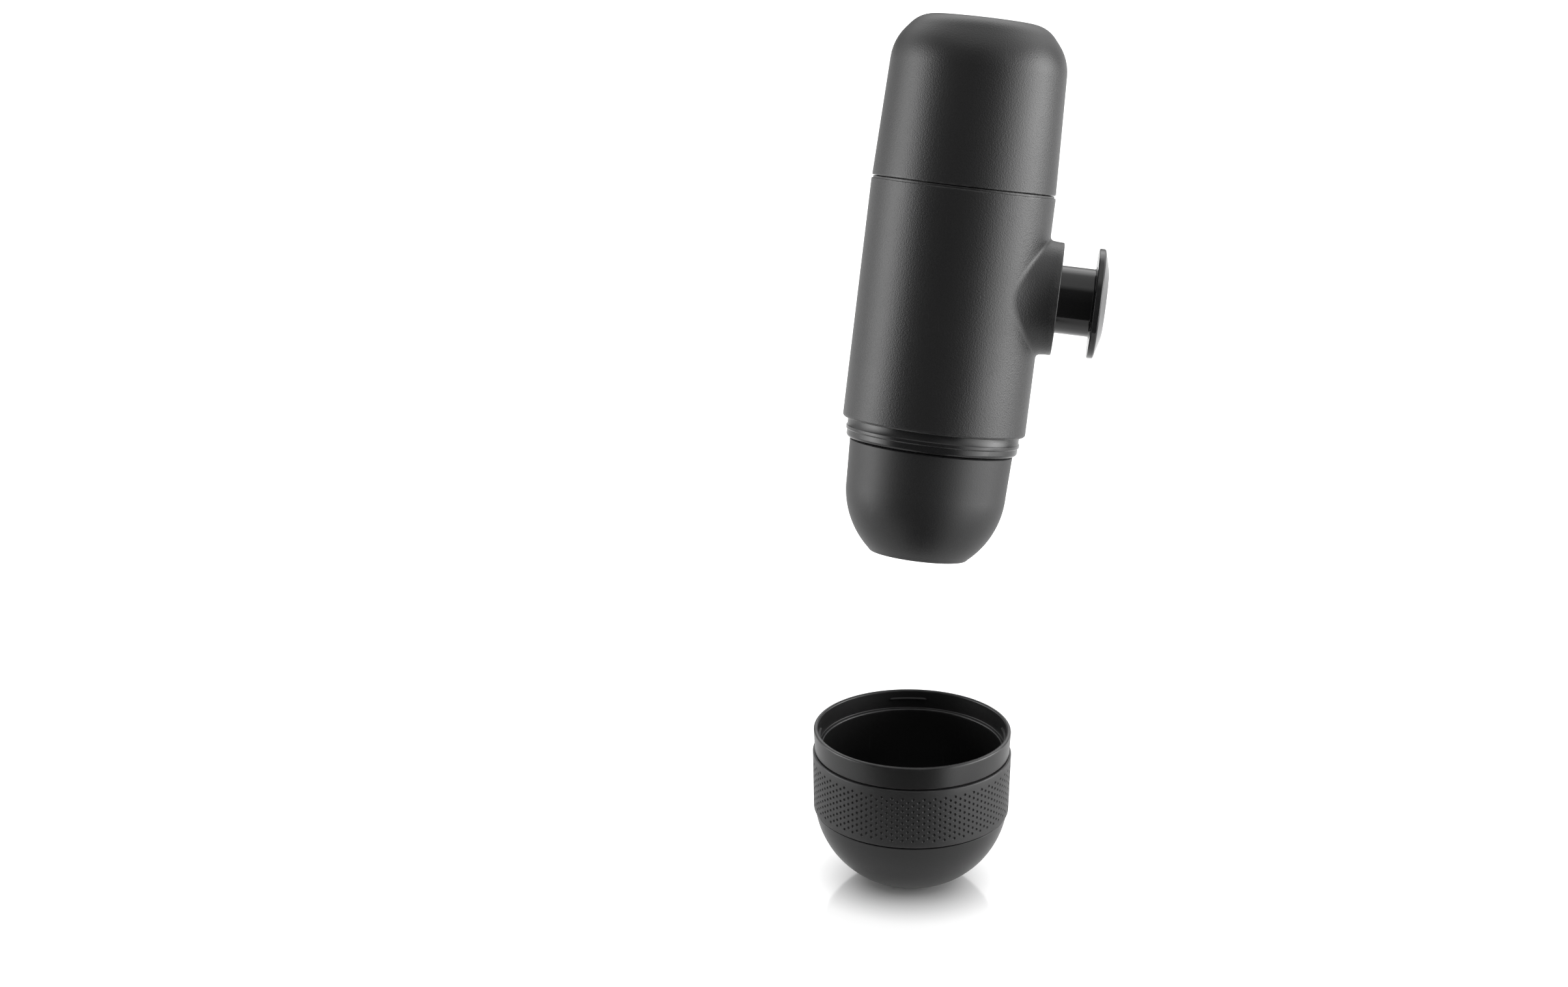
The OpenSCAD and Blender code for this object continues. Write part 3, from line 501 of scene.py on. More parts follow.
def outline(*corners, closed=True):
    """A profile's points, with its corners rounded, and with wear where an edge stands out."""
    arc_step, worn_round, long_run, end_run = radians(7), 0.45, 2.5, 0.4
    points = []
    last = len(corners) - 1
    for i, (x, y, *rounding) in enumerate(corners):
        here = Vector((x, y))
        radius = rounding[0] if rounding else 0
        if not radius or (not closed and i in (0, last)):
            points.append((x, y, 0.0))
            continue
        back = (Vector(corners[i - 1][:2]) - here).normalized()
        on = (Vector(corners[(i + 1) % len(corners)][:2]) - here).normalized()
        half = back.angle(on) / 2
        middle = here + (back + on).normalized() * radius / sin(half)
        start = here + back * radius / tan(half) - middle
        stands_out = on.x * back.y - on.y * back.x > 0
        sweep = (pi - 2 * half) * (1 if stands_out else -1)
        steps = max(3, ceil(abs(sweep) / arc_step))
        wear = min(1.0, worn_round / radius) if stands_out else 0.0
        for k in range(steps + 1):
            turn = sweep * k / steps
            spoke = Vector((start.x * cos(turn) - start.y * sin(turn),
                            start.x * sin(turn) + start.y * cos(turn)))
            points.append((*(middle + spoke), wear))
    filled = []
    for (x, y, wear), (next_x, next_y, _) in zip(points, points[1:] + points[:closed]):
        filled.append((x, y, wear))
        length = hypot(next_x - x, next_y - y)
        if length > long_run:
            for t in (end_run / length, 1 - end_run / length):
                filled.append((x + (next_x - x) * t, y + (next_y - y) * t, 0.0))
    return filled if closed else filled + points[-1:]


def spin(bm, profile, steps, closed=True, window=None):
    """Turns a profile round the upright axis, leaves out a window, and returns its rings."""
    wear = bm.verts.layers.float.get("edge") or bm.verts.layers.float.new("edge")
    on_axis = 1e-6
    rings = []
    for radius, height, rubbed in profile:
        ring = []
        for i in range(steps if radius > on_axis else 1):
            angle = tau * i / steps
            vertex = bm.verts.new((radius * cos(angle), radius * sin(angle), height))
            vertex[wear] = rubbed
            ring.append(vertex)
        rings.append(ring)
    for low, high in zip(rings, rings[1:] + rings[:closed]):
        for i in range(steps):
            j = (i + 1) % steps
            if window and window(i, low[0].co.z, high[0].co.z):
                continue
            corners = [low[i % len(low)], low[j % len(low)], high[j % len(high)], high[i % len(high)]]
            corners = list(dict.fromkeys(corners))
            if len(corners) > 2:
                bm.faces.new(corners)
    return rings


CREASE = radians(38)


def as_mesh(bm, material, place=TILTED):
    """Turns a bmesh into a smooth mesh in its place, with creases kept sharp."""
    mesh = bpy.data.meshes.new("piece")
    bm.to_mesh(mesh)
    bm.free()
    mesh.materials.clear()
    mesh.materials.append(material)
    mesh.transform(place)
    mesh.shade_smooth()
    mesh.set_sharp_from_angle(angle=CREASE)
    return mesh


def turned(profile, material, place=TILTED, steps=144, closed=True):
    """A round piece from its profile."""
    bm = bmesh.new()
    spin(bm, profile, steps, closed)
    return as_mesh(bm, material, place)


def length(vector):
    """How long a vector is."""
    operation = {"output": "Value", "operation": "LENGTH"}
    return wire(vector.id_data, "ShaderNodeVectorMath", {0: vector}, **operation)


def joined(*parts):
    """Several geometries as one."""
    tree = parts[0].id_data
    join = tree.nodes.new("GeometryNodeJoinGeometry")
    for part in parts:
        tree.links.new(part, join.inputs[0])
    return join.outputs[0]


def without(points, unwanted):
    """Points, less some of them."""
    past = {"Geometry": points, "Selection": unwanted}
    return wire(points.id_data, "GeometryNodeDeleteGeometry", past, domain="POINT")


def sieve():
    """A round plate with small holes on a triangular grid, and one hole in its middle."""
    tree, given, gives = geometry_tree("sieve", {
        "Radius": 16.0, "Holes to": 15.0, "Plain middle": 0.6, "Middle hole": 0.25, "Hole": 0.5,
        "Pitch": 1.2, "Bottom": 0.0, "Thickness": 0.5,
    })
    spare, row_step = 1.2, sin(radians(60))
    half = calc("CEIL", product(calc("DIVIDE", given["Holes to"], given["Pitch"]), spare))
    side = calc("MULTIPLY_ADD", half, 2.0, 1.0)
    index = wire(tree, "GeometryNodeInputIndex")
    column = calc("SUBTRACT", calc("MODULO", index, side), half)
    row = calc("SUBTRACT", calc("FLOOR", calc("DIVIDE", index, side)), half)
    shift = product(calc("FLOORED_MODULO", row, 2.0), 0.5)
    place = point(tree, X=product(calc("ADD", column, shift), given["Pitch"]),
                  Y=product(row, given["Pitch"], row_step))
    away = length(wire(tree, "GeometryNodeInputPosition"))
    outside = calc("MAXIMUM", calc("GREATER_THAN", away, given["Holes to"]),
                   calc("LESS_THAN", away, given["Plain middle"]))
    grid = without(spots(whole(product(side, side)), place), outside)
    holes = real(copies(circle(product(given["Hole"], 0.5), 8), grid))
    circles = joined(circle(given["Radius"], 96), circle(given["Middle hole"], 24), holes)
    sheet = wire(tree, "GeometryNodeFillCurve", {"Curve": circles})
    drawn = {"Mesh": sheet, "Offset Scale": given["Thickness"], "Individual": False}
    raised = wire(tree, "GeometryNodeExtrudeMesh", drawn)
    plate = welded(joined(raised, wire(tree, "GeometryNodeFlipFaces", {"Mesh": sheet})))
    lift = {"Geometry": plate, "Translation": point(tree, Z=given["Bottom"])}
    return deliver(given, gives, wire(tree, "GeometryNodeTransform", lift))


SIEVE = sieve()


def perforated(bm, material, **sizes):
    """A perforated plate, joined to what is already drawn."""
    bm.from_mesh(grow(SIEVE, material, spaced(sizes)))
    face_out(bm)
    return as_mesh(bm, material)


def flat_ring(inner, outer, low, high, low_round, high_round):
    """The profile of a ring with soft edges."""
    return outline((inner, low, low_round), (outer, low, low_round),
                   (outer, high, high_round), (inner, high, high_round))


screen_z, screen_r = 37.9, 20.2
sheet_steel = steel("sheet steel", (0.62, 0.62, 0.64), 0.26, brushed=0.003, lay=(1.0, 0.25, 1.0))
screen = perforated(bmesh.new(), sheet_steel, Radius=screen_r, Holes_to=16.2, Plain_middle=4.4,
                    Middle_hole=1.55, Hole=0.9, Pitch=1.9, Bottom=screen_z, Thickness=0.8)
shown("screen", screen, "maker", "shower_screen")
finish_node("screen_screw", steel("pan screw", bright_steel, 0.3))
silicone = moulded("silicone", (0.5, 0.48, 0.45), 0.5, grain=0.3, depth=0.004)
finish_node("outlet_valve", silicone)
red_rubber = moulded("red rubber", seal_red, 0.6, grain=0.35, depth=0.006)
brew_ring = flat_ring(17.2, 20.0, 34.7, 37.7, 0.5, 0.5)
shown("brew_ring", turned(brew_ring, red_rubber), "brew_ring", "brew_gasket")


# ---- Body shell ----
# One moulding in grained charcoal plastic that slides over the pump block: a round shell
# with a boss on its side for the piston. The boss has a hollow flare that runs into the
# shell, and a bright, well-rubbed edge round its face.

body_r, inner_r = 29.8, 27.8
rim_z, seam_low, inner_top, seam_high = 42.6, 120.05, 120.15, 120.73
seam_r, seat_r = 29.3, 28.5
face_x, boss_r, flare_r, bore_r = 34.5, 18.2, 30.0, 15.1
COLUMNS, HALF_WINDOW, ROWS = 192, 33, 40
window_reach, row_h = 26, 1.3
window_rows = [pump_z - window_reach + row_h * k for k in range(ROWS + 1)]
WINDOW_LOW, WINDOW_HIGH = window_rows[0] - 0.01, window_rows[-1] + 0.01
SAME = 0.001


def rows_between(profile, rows):
    """Adds rows to the upright parts of a closed profile."""
    result = []
    for (x, y, wear), (next_x, next_y, _) in zip(profile, profile[1:] + profile[:1]):
        result.append((x, y, wear))
        if abs(x - next_x) < SAME:
            inside = [z for z in rows if min(y, next_y) < z < max(y, next_y)]
            result += [(x, z, 0.0) for z in sorted(inside, reverse=next_y < y)]
    return result


def in_window(column, low, high):
    """Whether a face lies where the boss goes through the shell."""
    across = column < HALF_WINDOW or column >= COLUMNS - HALF_WINDOW
    return across and min(low, high) > WINDOW_LOW and max(low, high) < WINDOW_HIGH


def window_edge(rings, radius):
    """The verts round the window at a radius, in order."""
    rows = [ring for ring in rings if abs(ring[0].co.x - radius) < SAME
            and WINDOW_LOW < ring[0].co.z < WINDOW_HIGH]
    rows.sort(key=lambda ring: ring[0].co.z)
    across = range(-HALF_WINDOW, HALF_WINDOW + 1)
    edge = [rows[0][i] for i in across]
    edge += [row[HALF_WINDOW] for row in rows[1:]]
    edge += [rows[-1][i] for i in reversed(across[:-1])]
    return edge + [row[-HALF_WINDOW] for row in reversed(rows[1:-1])]


def boss_spoke(outer, inner):
    """A line of points from the shell's outside over the boss and through its bore to the inside."""
    across, up = outer.co.y, outer.co.z - pump_z
    angle = atan2(up, across)
    shell_steps, fillet_steps, flare_steps, bore_steps = 10, 6, 5, 7
    fillet, soft, face_edge, chamfer, mouth_edge, mouth_wear = 1.3, 0.4, 0.9, 0.3, 0.7, 0.7

    def at(x, rho):
        return Vector((x, rho * cos(angle), pump_z + rho * sin(angle)))

    def on_shell(rho, radius=body_r):
        return at(sqrt(radius ** 2 - (rho * cos(angle)) ** 2), rho)

    def flare_at(turn):
        return boss_r + flare_r * (1 - cos(turn))

    def on_flare(turn):
        return at(face_x - flare_r * sin(turn), flare_at(turn))

    meet, past = 0.0, 0.7
    for _ in range(40):
        middle = (meet + past) / 2
        if on_flare(middle).x > on_shell(flare_at(middle)).x:
            meet = middle
        else:
            past = middle
    foot = flare_at(meet) + fillet * on_shell(flare_at(meet)).x / body_r
    crease = meet - fillet / flare_r
    start = hypot(across, up)
    points = []
    for k in range(1, shell_steps + 1):
        points.append((on_shell(start + (foot - start) * k / shell_steps), 0.0))
    ends = on_shell(foot), on_flare(meet), on_flare(crease)
    for t in [k / fillet_steps for k in range(1, fillet_steps)]:
        points.append((ends[0] * (1 - t) ** 2 + ends[1] * 2 * t * (1 - t) + ends[2] * t ** 2, 0.0))
    top = soft / flare_r
    points += [(on_flare(crease + (top - crease) * k / flare_steps), 0.0) for k in range(flare_steps)]
    for t in [radians(15 * k) for k in range(7)]:
        points.append((at(face_x - soft + soft * sin(t), boss_r - soft + soft * cos(t)), 1.0))
    points += [(at(face_x, boss_r - face_edge), 0.0), (at(face_x, bore_r + mouth_edge), 0.0),
               (at(face_x, bore_r + chamfer), mouth_wear), (at(face_x - chamfer, bore_r), mouth_wear),
               (at(face_x - mouth_edge, bore_r), 0.0)]
    end = on_shell(bore_r, inner_r)
    points.append((end, 0.0))
    for k in range(1, bore_steps):
        y = end.y + (inner.co.y - end.y) * k / bore_steps
        z = end.z + (inner.co.z - end.z) * k / bore_steps
        points.append((Vector((sqrt(inner_r ** 2 - y ** 2), y, z)), 0.0))
    return points


shell = bmesh.new()
shell_profile = outline(
    (inner_r, rim_z), (body_r, rim_z, 0.9), (body_r, seam_low, 0.25), (seam_r, seam_low),
    (seam_r, seam_high, 0.1), (seat_r, seam_high, 0.1), (inner_r, inner_top))
shell_rings = spin(shell, rows_between(shell_profile, window_rows), COLUMNS, window=in_window)
worn = shell.verts.layers.float["edge"]
spokes = []
for outside, inside in zip(window_edge(shell_rings, body_r), window_edge(shell_rings, inner_r)):
    spoke = [outside]
    for place, rubbed in boss_spoke(outside, inside):
        vertex = shell.verts.new(place)
        vertex[worn] = rubbed
        spoke.append(vertex)
    spokes.append(spoke + [inside])
for spoke, after in zip(spokes, spokes[1:] + spokes[:1]):
    for k in range(len(spoke) - 1):
        shell.faces.new((spoke[k], after[k], after[k + 1], spoke[k + 1]))
face_out(shell)
charcoal = moulded("charcoal shell", (0.0155, 0.0155, 0.0158), 0.38, grain=0.46, depth=0.065,
                   rubbed=0.7)
shown("shell", as_mesh(shell, charcoal), "maker", "body_shell")


# ---- Guide collar and wiper ----
# An acetal bush pressed into the boss guides the stem, and a dull black rubber wiper in its
# groove keeps dirt out of the pump.

guide_r, collar_r, collar_x, collar_end_x = 11.0, 15.0, 22.2, 34.2
groove_r, groove_x, groove_end_x = 12.65, 29.9, 31.7
lead_in, lead_in_depth = 0.35, 0.6
collar = outline(
    (guide_r, collar_x), (collar_r, collar_x, 0.3), (collar_r, collar_end_x, 0.5),
    (guide_r + lead_in, collar_end_x, lead_in), (guide_r, collar_end_x - lead_in_depth),
    (guide_r, groove_end_x), (groove_r, groove_end_x), (groove_r, groove_x), (guide_r, groove_x))
bush = moulded("bush acetal", (0.02, 0.02, 0.021), 0.34, grain=0.4, depth=0.004)
shown("collar", turned(collar, bush, ON_PUMP), "maker", "guide_collar")
rubber = moulded("black rubber", (0.03, 0.03, 0.03), 0.62, grain=0.3, depth=0.008, rubbed=0.2)
finish_node("wiper_seal", rubber)


# ---- Stem and push knob ----
# A high-gloss tube slides in the collar, stopped inside by its flange. The knob is a bevelled
# disc whose hub plugs into the tube, moulded in the same gloss plastic.

gloss_black = (0.012, 0.012, 0.0125)
gloss = moulded("gloss black", gloss_black, 0.11, grain=1.6, depth=0.002, rubbed=0.35, uneven=0.05)
stem_r, stem_bore = 10.95, 9.65
flange_r, flange_x, flange_end_x = 12.05, 20.2, 21.9
foot_r, foot_x = 11.7, 45.7
knob_r, knob_x, knob_edge_x, knob_top_x, dish_r = 17.75, 45.8, 47.9, 49.8, 10.65
hub_r, hub_x, rod_hole_r, rod_end_x = 9.55, 40.0, 3.05, 44.4
stem = outline(
    (stem_bore, flange_x), (flange_r, flange_x, 0.3), (flange_r, flange_end_x, 0.2),
    (stem_r, flange_end_x, 0.3), (stem_r, foot_x, 0.6), (foot_r, foot_x), (foot_r, knob_x),
    (stem_bore, knob_x))
shown("stem", turned(stem, gloss, ON_PUMP), "piston", "piston_stem")
knob = outline(
    (0, rod_end_x), (rod_hole_r, rod_end_x), (rod_hole_r, hub_x), (hub_r, hub_x, 0.3), (hub_r, knob_x),
    (knob_r, knob_x, 0.45), (knob_r, knob_edge_x, 0.7), (dish_r, knob_top_x, 5.0), (0, knob_top_x),
    closed=False)
knob_mesh = turned(knob, gloss, ON_PUMP, steps=168, closed=False)
shown("knob", knob_mesh, "piston", "push_knob")


# ---- Tank seat and vent ----
# The seat is a moulded cup that is welded into the top of the body, with a two-start thread
# for the tank. A silicone duckbill in its floor lets air in behind the water.

seat_nylon = moulded("seat nylon", (0.028, 0.028, 0.029), 0.45, grain=0.5, depth=0.01)
finish_node("tank_seat", seat_nylon)
finish_node("vent_valve", silicone)
TANK_THREAD = {"Width": 1.1, "Lead": 6.4, "Turns": 0.85, "Starts": 2, "Steps": 120}
threaded("seat_thread", "maker", seat_nylon, **TANK_THREAD, Radius=26.6, Stands_out=-1.0, Bottom=112.7)


# ---- Neck ring and screws ----
# A semi-gloss plastic ring under the body, with a fine ridge that the cup clicks onto. Three
# small socket screws with rounded heads fix it up against the pump block.

AS_DRAWN = Matrix.Identity(4)
neck_bore, neck_r, ridge_r, shoulder_r, spigot_end_r = 23.8, 27.9, 28.3, 28.0, 27.7
neck_low, ridge_low, ridge_high, ridge_slope = 36.2, 39.05, 39.95, 0.4
shoulder_z, neck_top = 42.5, 46.3
neck = outline(
    (neck_bore, neck_low, 0.3), (neck_r, neck_low, 1.1), (neck_r, ridge_low - ridge_slope),
    (ridge_r, ridge_low, 0.2), (ridge_r, ridge_high, 0.2), (shoulder_r, ridge_high + ridge_slope),
    (shoulder_r, shoulder_z), (spigot_end_r, shoulder_z), (spigot_end_r, neck_top),
    (neck_bore, neck_top))
neck_black = moulded("neck black", (0.011, 0.011, 0.0114), 0.24, grain=0.5, depth=0.003,
                     rubbed=0.12, uneven=0.05, specular=0.45)
screw_ring_r, screw_angles = 25.9, [radians(turn) for turn in (70, 190, 310)]
recess_r, recess_z, recess_depth = 1.45, 37.0, 2.0
neck_mesh = turned(neck, neck_black, AS_DRAWN)
drills = bmesh.new()
for turn in screw_angles:
    middle = (screw_ring_r * cos(turn), screw_ring_r * sin(turn), recess_z)
    bmesh.ops.create_cone(drills, cap_ends=True, segments=32, radius1=recess_r, radius2=recess_r,
                          depth=recess_depth, matrix=Matrix.Translation(middle))


def cut(mesh, cutter):
    """Cuts one closed mesh out of another."""
    blank, tool = pieces = [linked("blank", mesh), linked("tool", cutter)]
    boolean = blank.modifiers.new("cut", "BOOLEAN")
    boolean.operation, boolean.solver, boolean.object = "DIFFERENCE", "EXACT", tool
    result = as_evaluated(blank)
    for piece in pieces:
        bpy.data.objects.remove(piece)
    return result


neck_mesh = cut(neck_mesh, as_mesh(drills, neck_black, AS_DRAWN))
neck_mesh.transform(TILTED)
neck_mesh.set_sharp_from_angle(angle=CREASE)
shown("neck", neck_mesh, "maker", "neck_ring")


def ring_of_screws():
    """Copies of one screw on a circle, from a first angle."""
    tree, given, gives = geometry_tree("ring of screws", {
        "Geometry": GEOMETRY, "Count": 3, "Radius": 25.0, "First angle": 0.0,
    })
    screws = in_a_ring(given["Geometry"], given["Count"], given["Radius"], given["First angle"])
    return deliver(given, gives, screws)


socket_r, socket_end, head_r, head_low, head_high = 0.7, 37.4, 1.35, 36.6, 38.0
shank_r, screw_top = 1.25, 50.6
screw_profile = outline(
    (0, socket_end), (socket_r, socket_end), (socket_r, head_low), (head_r, head_low, 0.4),
    (head_r, head_high, 0.05), (shank_r, head_high), (shank_r, screw_top, 0.3), (0, screw_top),
    closed=False)
screw = bmesh.new()
spin(screw, screw_profile, 36, closed=False)
flat, half_flat = radians(60), radians(30)
for vertex in screw.verts:
    if abs(vertex.co.xy.length - socket_r) < SAME:
        off_flat = half_flat - atan2(vertex.co.y, vertex.co.x) % flat
        vertex.co.xy *= cos(half_flat) / cos(off_flat)
screw_steel = steel("screw steel", (0.55, 0.55, 0.57), 0.28)
one_screw = as_mesh(screw, screw_steel, AS_DRAWN)
ring = {"Count": len(screw_angles), "Radius": screw_ring_r, "First angle": screw_angles[0]}
screws = grow(ring_of_screws(), screw_steel, ring, one_screw)
screws.transform(TILTED)
shown("screws", screws, "maker", "neck_screws")


# ---- Filter basket, adapter, nozzle and outlet head ----
# The basket is drawn from thin steel and its floor is perforated. It stands in a moulded
# funnel over the nozzle. All three sit in the matte head, which screws on the spigot.

basket_r, basket_low, basket_t, floor_r = 18.5, 16.9, 0.5, 16.6
basket_rim_r, basket_rim_low, basket_rim_high = 20.0, 33.6, 34.4
basket_profile = outline(
    (floor_r, basket_low), (basket_r, basket_low, 1.2), (basket_r, basket_rim_low, 0.25),
    (basket_rim_r, basket_rim_low, 0.2), (basket_rim_r, basket_rim_high, 0.35),
    (basket_r - basket_t, basket_rim_high, 0.35), (basket_r - basket_t, basket_low + basket_t, 0.7),
    (floor_r, basket_low + basket_t))
bm = bmesh.new()
spin(bm, basket_profile, 144)
basket = perforated(bm, sheet_steel, Radius=floor_r + 0.02, Holes_to=15.6, Plain_middle=0.6,
                    Middle_hole=0.25, Hole=0.5, Pitch=1.25, Bottom=basket_low, Thickness=basket_t)
shown("basket", basket, "outlet", "filter_basket")

spout_bore, spout_r, spout_top = 3.0, 4.9, 5.9
funnel_r, funnel_low, funnel_top = 22.4, 15.4, 21.8
pocket_r, pocket_z, cone_r, cone_low = 18.6, 16.9, 16.0, 7.3
funnel_nylon = moulded("funnel nylon", (0.02, 0.02, 0.021), 0.4, grain=0.5, depth=0.01)
funnel = outline(
    (spout_bore, spout_top), (spout_r, spout_top), (spout_r, spout_top + 1.0),
    (cone_r + 0.4, funnel_low), (funnel_r, funnel_low, 0.4), (funnel_r, funnel_top, 0.4),
    (pocket_r, funnel_top, 0.3), (pocket_r, pocket_z), (cone_r, pocket_z, 0.3),
    (spout_bore, cone_low, 0.4))
shown("funnel", turned(funnel, funnel_nylon), "outlet", "filter_adapter")
nozzle_low, collar_low, collar_high, nozzle_collar_r = 0.4, 2.5, 3.7, 6.7
nozzle = outline(
    (spout_bore, nozzle_low, 0.4), (spout_r, nozzle_low, 0.4), (spout_r, collar_low),
    (nozzle_collar_r, collar_low), (nozzle_collar_r, collar_high, 0.2), (spout_r, collar_high),
    (spout_r, spout_top), (spout_bore, spout_top))
shown("nozzle", turned(nozzle, bush), "outlet", "spout_nozzle")


def bowl(radius, centre, low, high, steps=24):
    """Points on a bowl's arc between two angles in degrees."""
    angles = [radians(low + (high - low) * k / steps) for k in range(steps + 1)]
    return [(centre[0] + radius * cos(a), centre[1] + radius * sin(a)) for a in angles]


head_centre, head_outer_r, head_inner_r = (-2.4, 22.0067), 28.5, 26.3
spout_hole_r, flat_r, flat_arc, ledge_arc = 5.0, 15.9, -48.0, -14.5
head_floor, head_edge, head_top, mouth_r, ledge_r = 2.2, 26.6, 35.9, 23.5, 22.5
head = outline(
    (spout_hole_r, 0.0, 0.3), (flat_r, 0.0, 0.7), *bowl(head_outer_r, head_centre, flat_arc, 0),
    (head_edge, head_top - 0.4), (head_edge - 0.4, head_top), (mouth_r, head_top, 0.3),
    (mouth_r, funnel_top), (ledge_r, funnel_top), (ledge_r, funnel_low),
    *bowl(head_inner_r, head_centre, ledge_arc, flat_arc), (spout_hole_r, head_floor))
matte = moulded("matte head", (0.015, 0.015, 0.0154), 0.47, grain=0.4, depth=0.025)
shown("head", turned(head, matte), "outlet", "outlet_head")
threaded("head_thread", "outlet", matte, **HEAD_THREAD,
         Radius=mouth_r, Stands_out=-0.8, Width=1.1, Bottom=spigot_z + 3.6)


# ---- Tank ----
# A bottle with a drawn-in shoulder and a flat end, moulded in the body's grained charcoal
# plastic. Its skirt carries the thread and presses on a flat rubber gasket.

tank_r, tank_wall, tank_low, tank_top = 29.7, 1.9, 120.95, 173.9
bend_r, bend_z, bend_round, end_r, end_round = 28.2, 164.3, 16.0, 20.2, 10.0
inner_bend_r, inner_bend_z, inner_end_r = 26.32, 163.58, 19.31
skirt_r, skirt_bore, skirt_low, skirt_top, wall_low = 25.2, 23.4, 112.5, 122.85, 126.85
tank_shape = outline(
    (0, tank_top - tank_wall), (inner_end_r, tank_top - tank_wall, end_round - tank_wall),
    (inner_bend_r, inner_bend_z, bend_round - tank_wall), (tank_r - tank_wall, wall_low, 2.0),
    (skirt_bore, skirt_top), (skirt_bore, skirt_low, 0.3), (skirt_r, skirt_low, 0.3),
    (skirt_r, tank_low), (tank_r, tank_low, 0.35), (bend_r, bend_z, bend_round),
    (end_r, tank_top, end_round), (0, tank_top), closed=False)
bottle = turned(tank_shape, charcoal, steps=168, closed=False)
shown("bottle", bottle, "tank", "tank")
threaded("tank_thread", "tank", charcoal, **TANK_THREAD, Radius=skirt_r, Stands_out=1.0, Bottom=114.3)
gasket = flat_ring(22.6, 25.8, 110.05, 112.2, 0.2, 0.3)
shown("gasket", turned(gasket, rubber), "tank_ring", "tank_gasket")


# ---- Cup ----
# A thick-walled cup, moulded in satin black plastic. Four small lugs inside its mouth catch
# the neck's ridge when it is stowed there. Otherwise it stands on the table by itself.

cup_satin = moulded("cup satin", (0.0085, 0.0085, 0.0087), 0.33, grain=0.45, depth=0.012)
cup_centre, cup_outer_r, cup_inner_r = (2.1, 27.2), 27.9, 25.4
foot_r, floor_z, floor_edge_r = 9.8, 3.2, 10.56
brim_r, brim_z, gap_r, gap_z = 29.5, 23.15, 28.9, 23.2
bed_r, bed_low, bed_high = 29.4, 23.7, 42.9
lip_low_r, lip_r, lip_inner_r, cup_top = 30.0, 30.4, 29.1, 50.0
ledge_z, ledge_r, throat_r, throat_z = 44.2, 28.6, 27.55, 43.2
cup_shape = outline(
    (0, 0), (foot_r, 0, 0.4), *bowl(cup_outer_r, cup_centre, -72.5, -8.8), (brim_r, brim_z, 0.3),
    (gap_r, gap_z), (gap_r, bed_low), (bed_r, bed_low), (bed_r, bed_high),
    (lip_low_r, bed_high, 0.3), (lip_r, cup_top, 0.6), (lip_inner_r, cup_top, 0.5),
    (ledge_r, ledge_z, 0.3), (throat_r, ledge_z, 0.5), (throat_r - 0.05, throat_z),
    *bowl(cup_inner_r, cup_centre, 0, -67.0), (floor_edge_r, floor_z, 4.0), (0, floor_z),
    closed=False)
cup_mesh = turned(cup_shape, cup_satin, MM, steps=192, closed=False)
shown("cup_shell", cup_mesh, "cup", "cup")
lugs_turned, lug_arc = radians(-12), 24
threaded("cup_lugs", "cup", cup_satin, MM @ Matrix.Rotation(lugs_turned, 4, "Z"), Radius=28.7,
         Stands_out=-0.5, Width=0.9, Lead=0.0, Turns=lug_arc / 360, Starts=4, Bottom=47.25, Steps=24)


# ---- Grip band ----
# A moulded rubber sleeve stretched into its bed round the cup. Small pits cover it in
# columns, and every second column lies half a pitch higher.

grip_z, grip_top, grip_low_r, grip_high_r, grip_mean_r = 23.6, 42.6, 30.2, 30.6, 30.4
grip_taper = (grip_high_r - grip_low_r) / (grip_top - grip_z)
PIT_COLUMNS, PIT_ROWS = 118, 8
pit_pitch, pit_top = 1.98, 40.79
pit_low = pit_top - PIT_ROWS * pit_pitch
tile_w = tau * grip_mean_r / PIT_COLUMNS


def pitted_band():
    """Lays a tile in staggered columns, fills their ends with plain half tiles, and bends it round."""
    tree, given, gives = geometry_tree("pitted band", {
        "Geometry": GEOMETRY, "Columns": 118, "Rows": 8, "Width": 1.6, "Pitch": 1.9, "Bottom": 0.0,
        "Low radius": 30.0, "Taper": 0.03,
    })
    rows, pitch, width = given["Rows"], given["Pitch"], given["Width"]
    index = wire(tree, "GeometryNodeInputIndex")
    column = calc("FLOOR", calc("DIVIDE", index, rows))
    row = calc("MODULO", index, rows)
    odd = calc("MODULO", column, 2.0)
    up = calc("ADD", calc("ADD", row, 0.5), product(odd, 0.5))
    place = point(tree, X=product(column, width), Y=product(up, pitch))
    grid = spots(whole(product(given["Columns"], rows)), place)
    last_row = calc("GREATER_THAN", row, calc("SUBTRACT", rows, 1.5))
    pits = copies(given["Geometry"], without(grid, product(odd, last_row)))
    plain = wire(tree, "GeometryNodeMeshGrid", {
        "Size X": width, "Size Y": product(pitch, 0.5), "Vertices X": 3, "Vertices Y": 2,
    })
    top = calc("MODULO", index, 2.0)
    pair = calc("FLOOR", calc("DIVIDE", index, 2.0))
    quarter = product(pitch, 0.25)
    reach = calc("SUBTRACT", product(pitch, rows), product(quarter, 2.0))
    place = point(tree, X=product(calc("MULTIPLY_ADD", pair, 2.0, 1.0), width),
                  Y=calc("MULTIPLY_ADD", top, reach, quarter))
    sheet = real(joined(pits, copies(plain, spots(given["Columns"], place))))
    at = axes(wire(tree, "GeometryNodeInputPosition"))
    turn = calc("DIVIDE", product(at["X"], tau), product(width, given["Columns"]))
    sleeve = calc("MULTIPLY_ADD", at["Y"], given["Taper"], given["Low radius"])
    radius = calc("ADD", sleeve, at["Z"])
    bent = around(radius, turn, calc("ADD", at["Y"], given["Bottom"]))
    return deliver(given, gives, moved(sheet, bent))


def grip_radius(z):
    """The sleeve's radius at a height."""
    return grip_low_r + grip_taper * (z - grip_z)


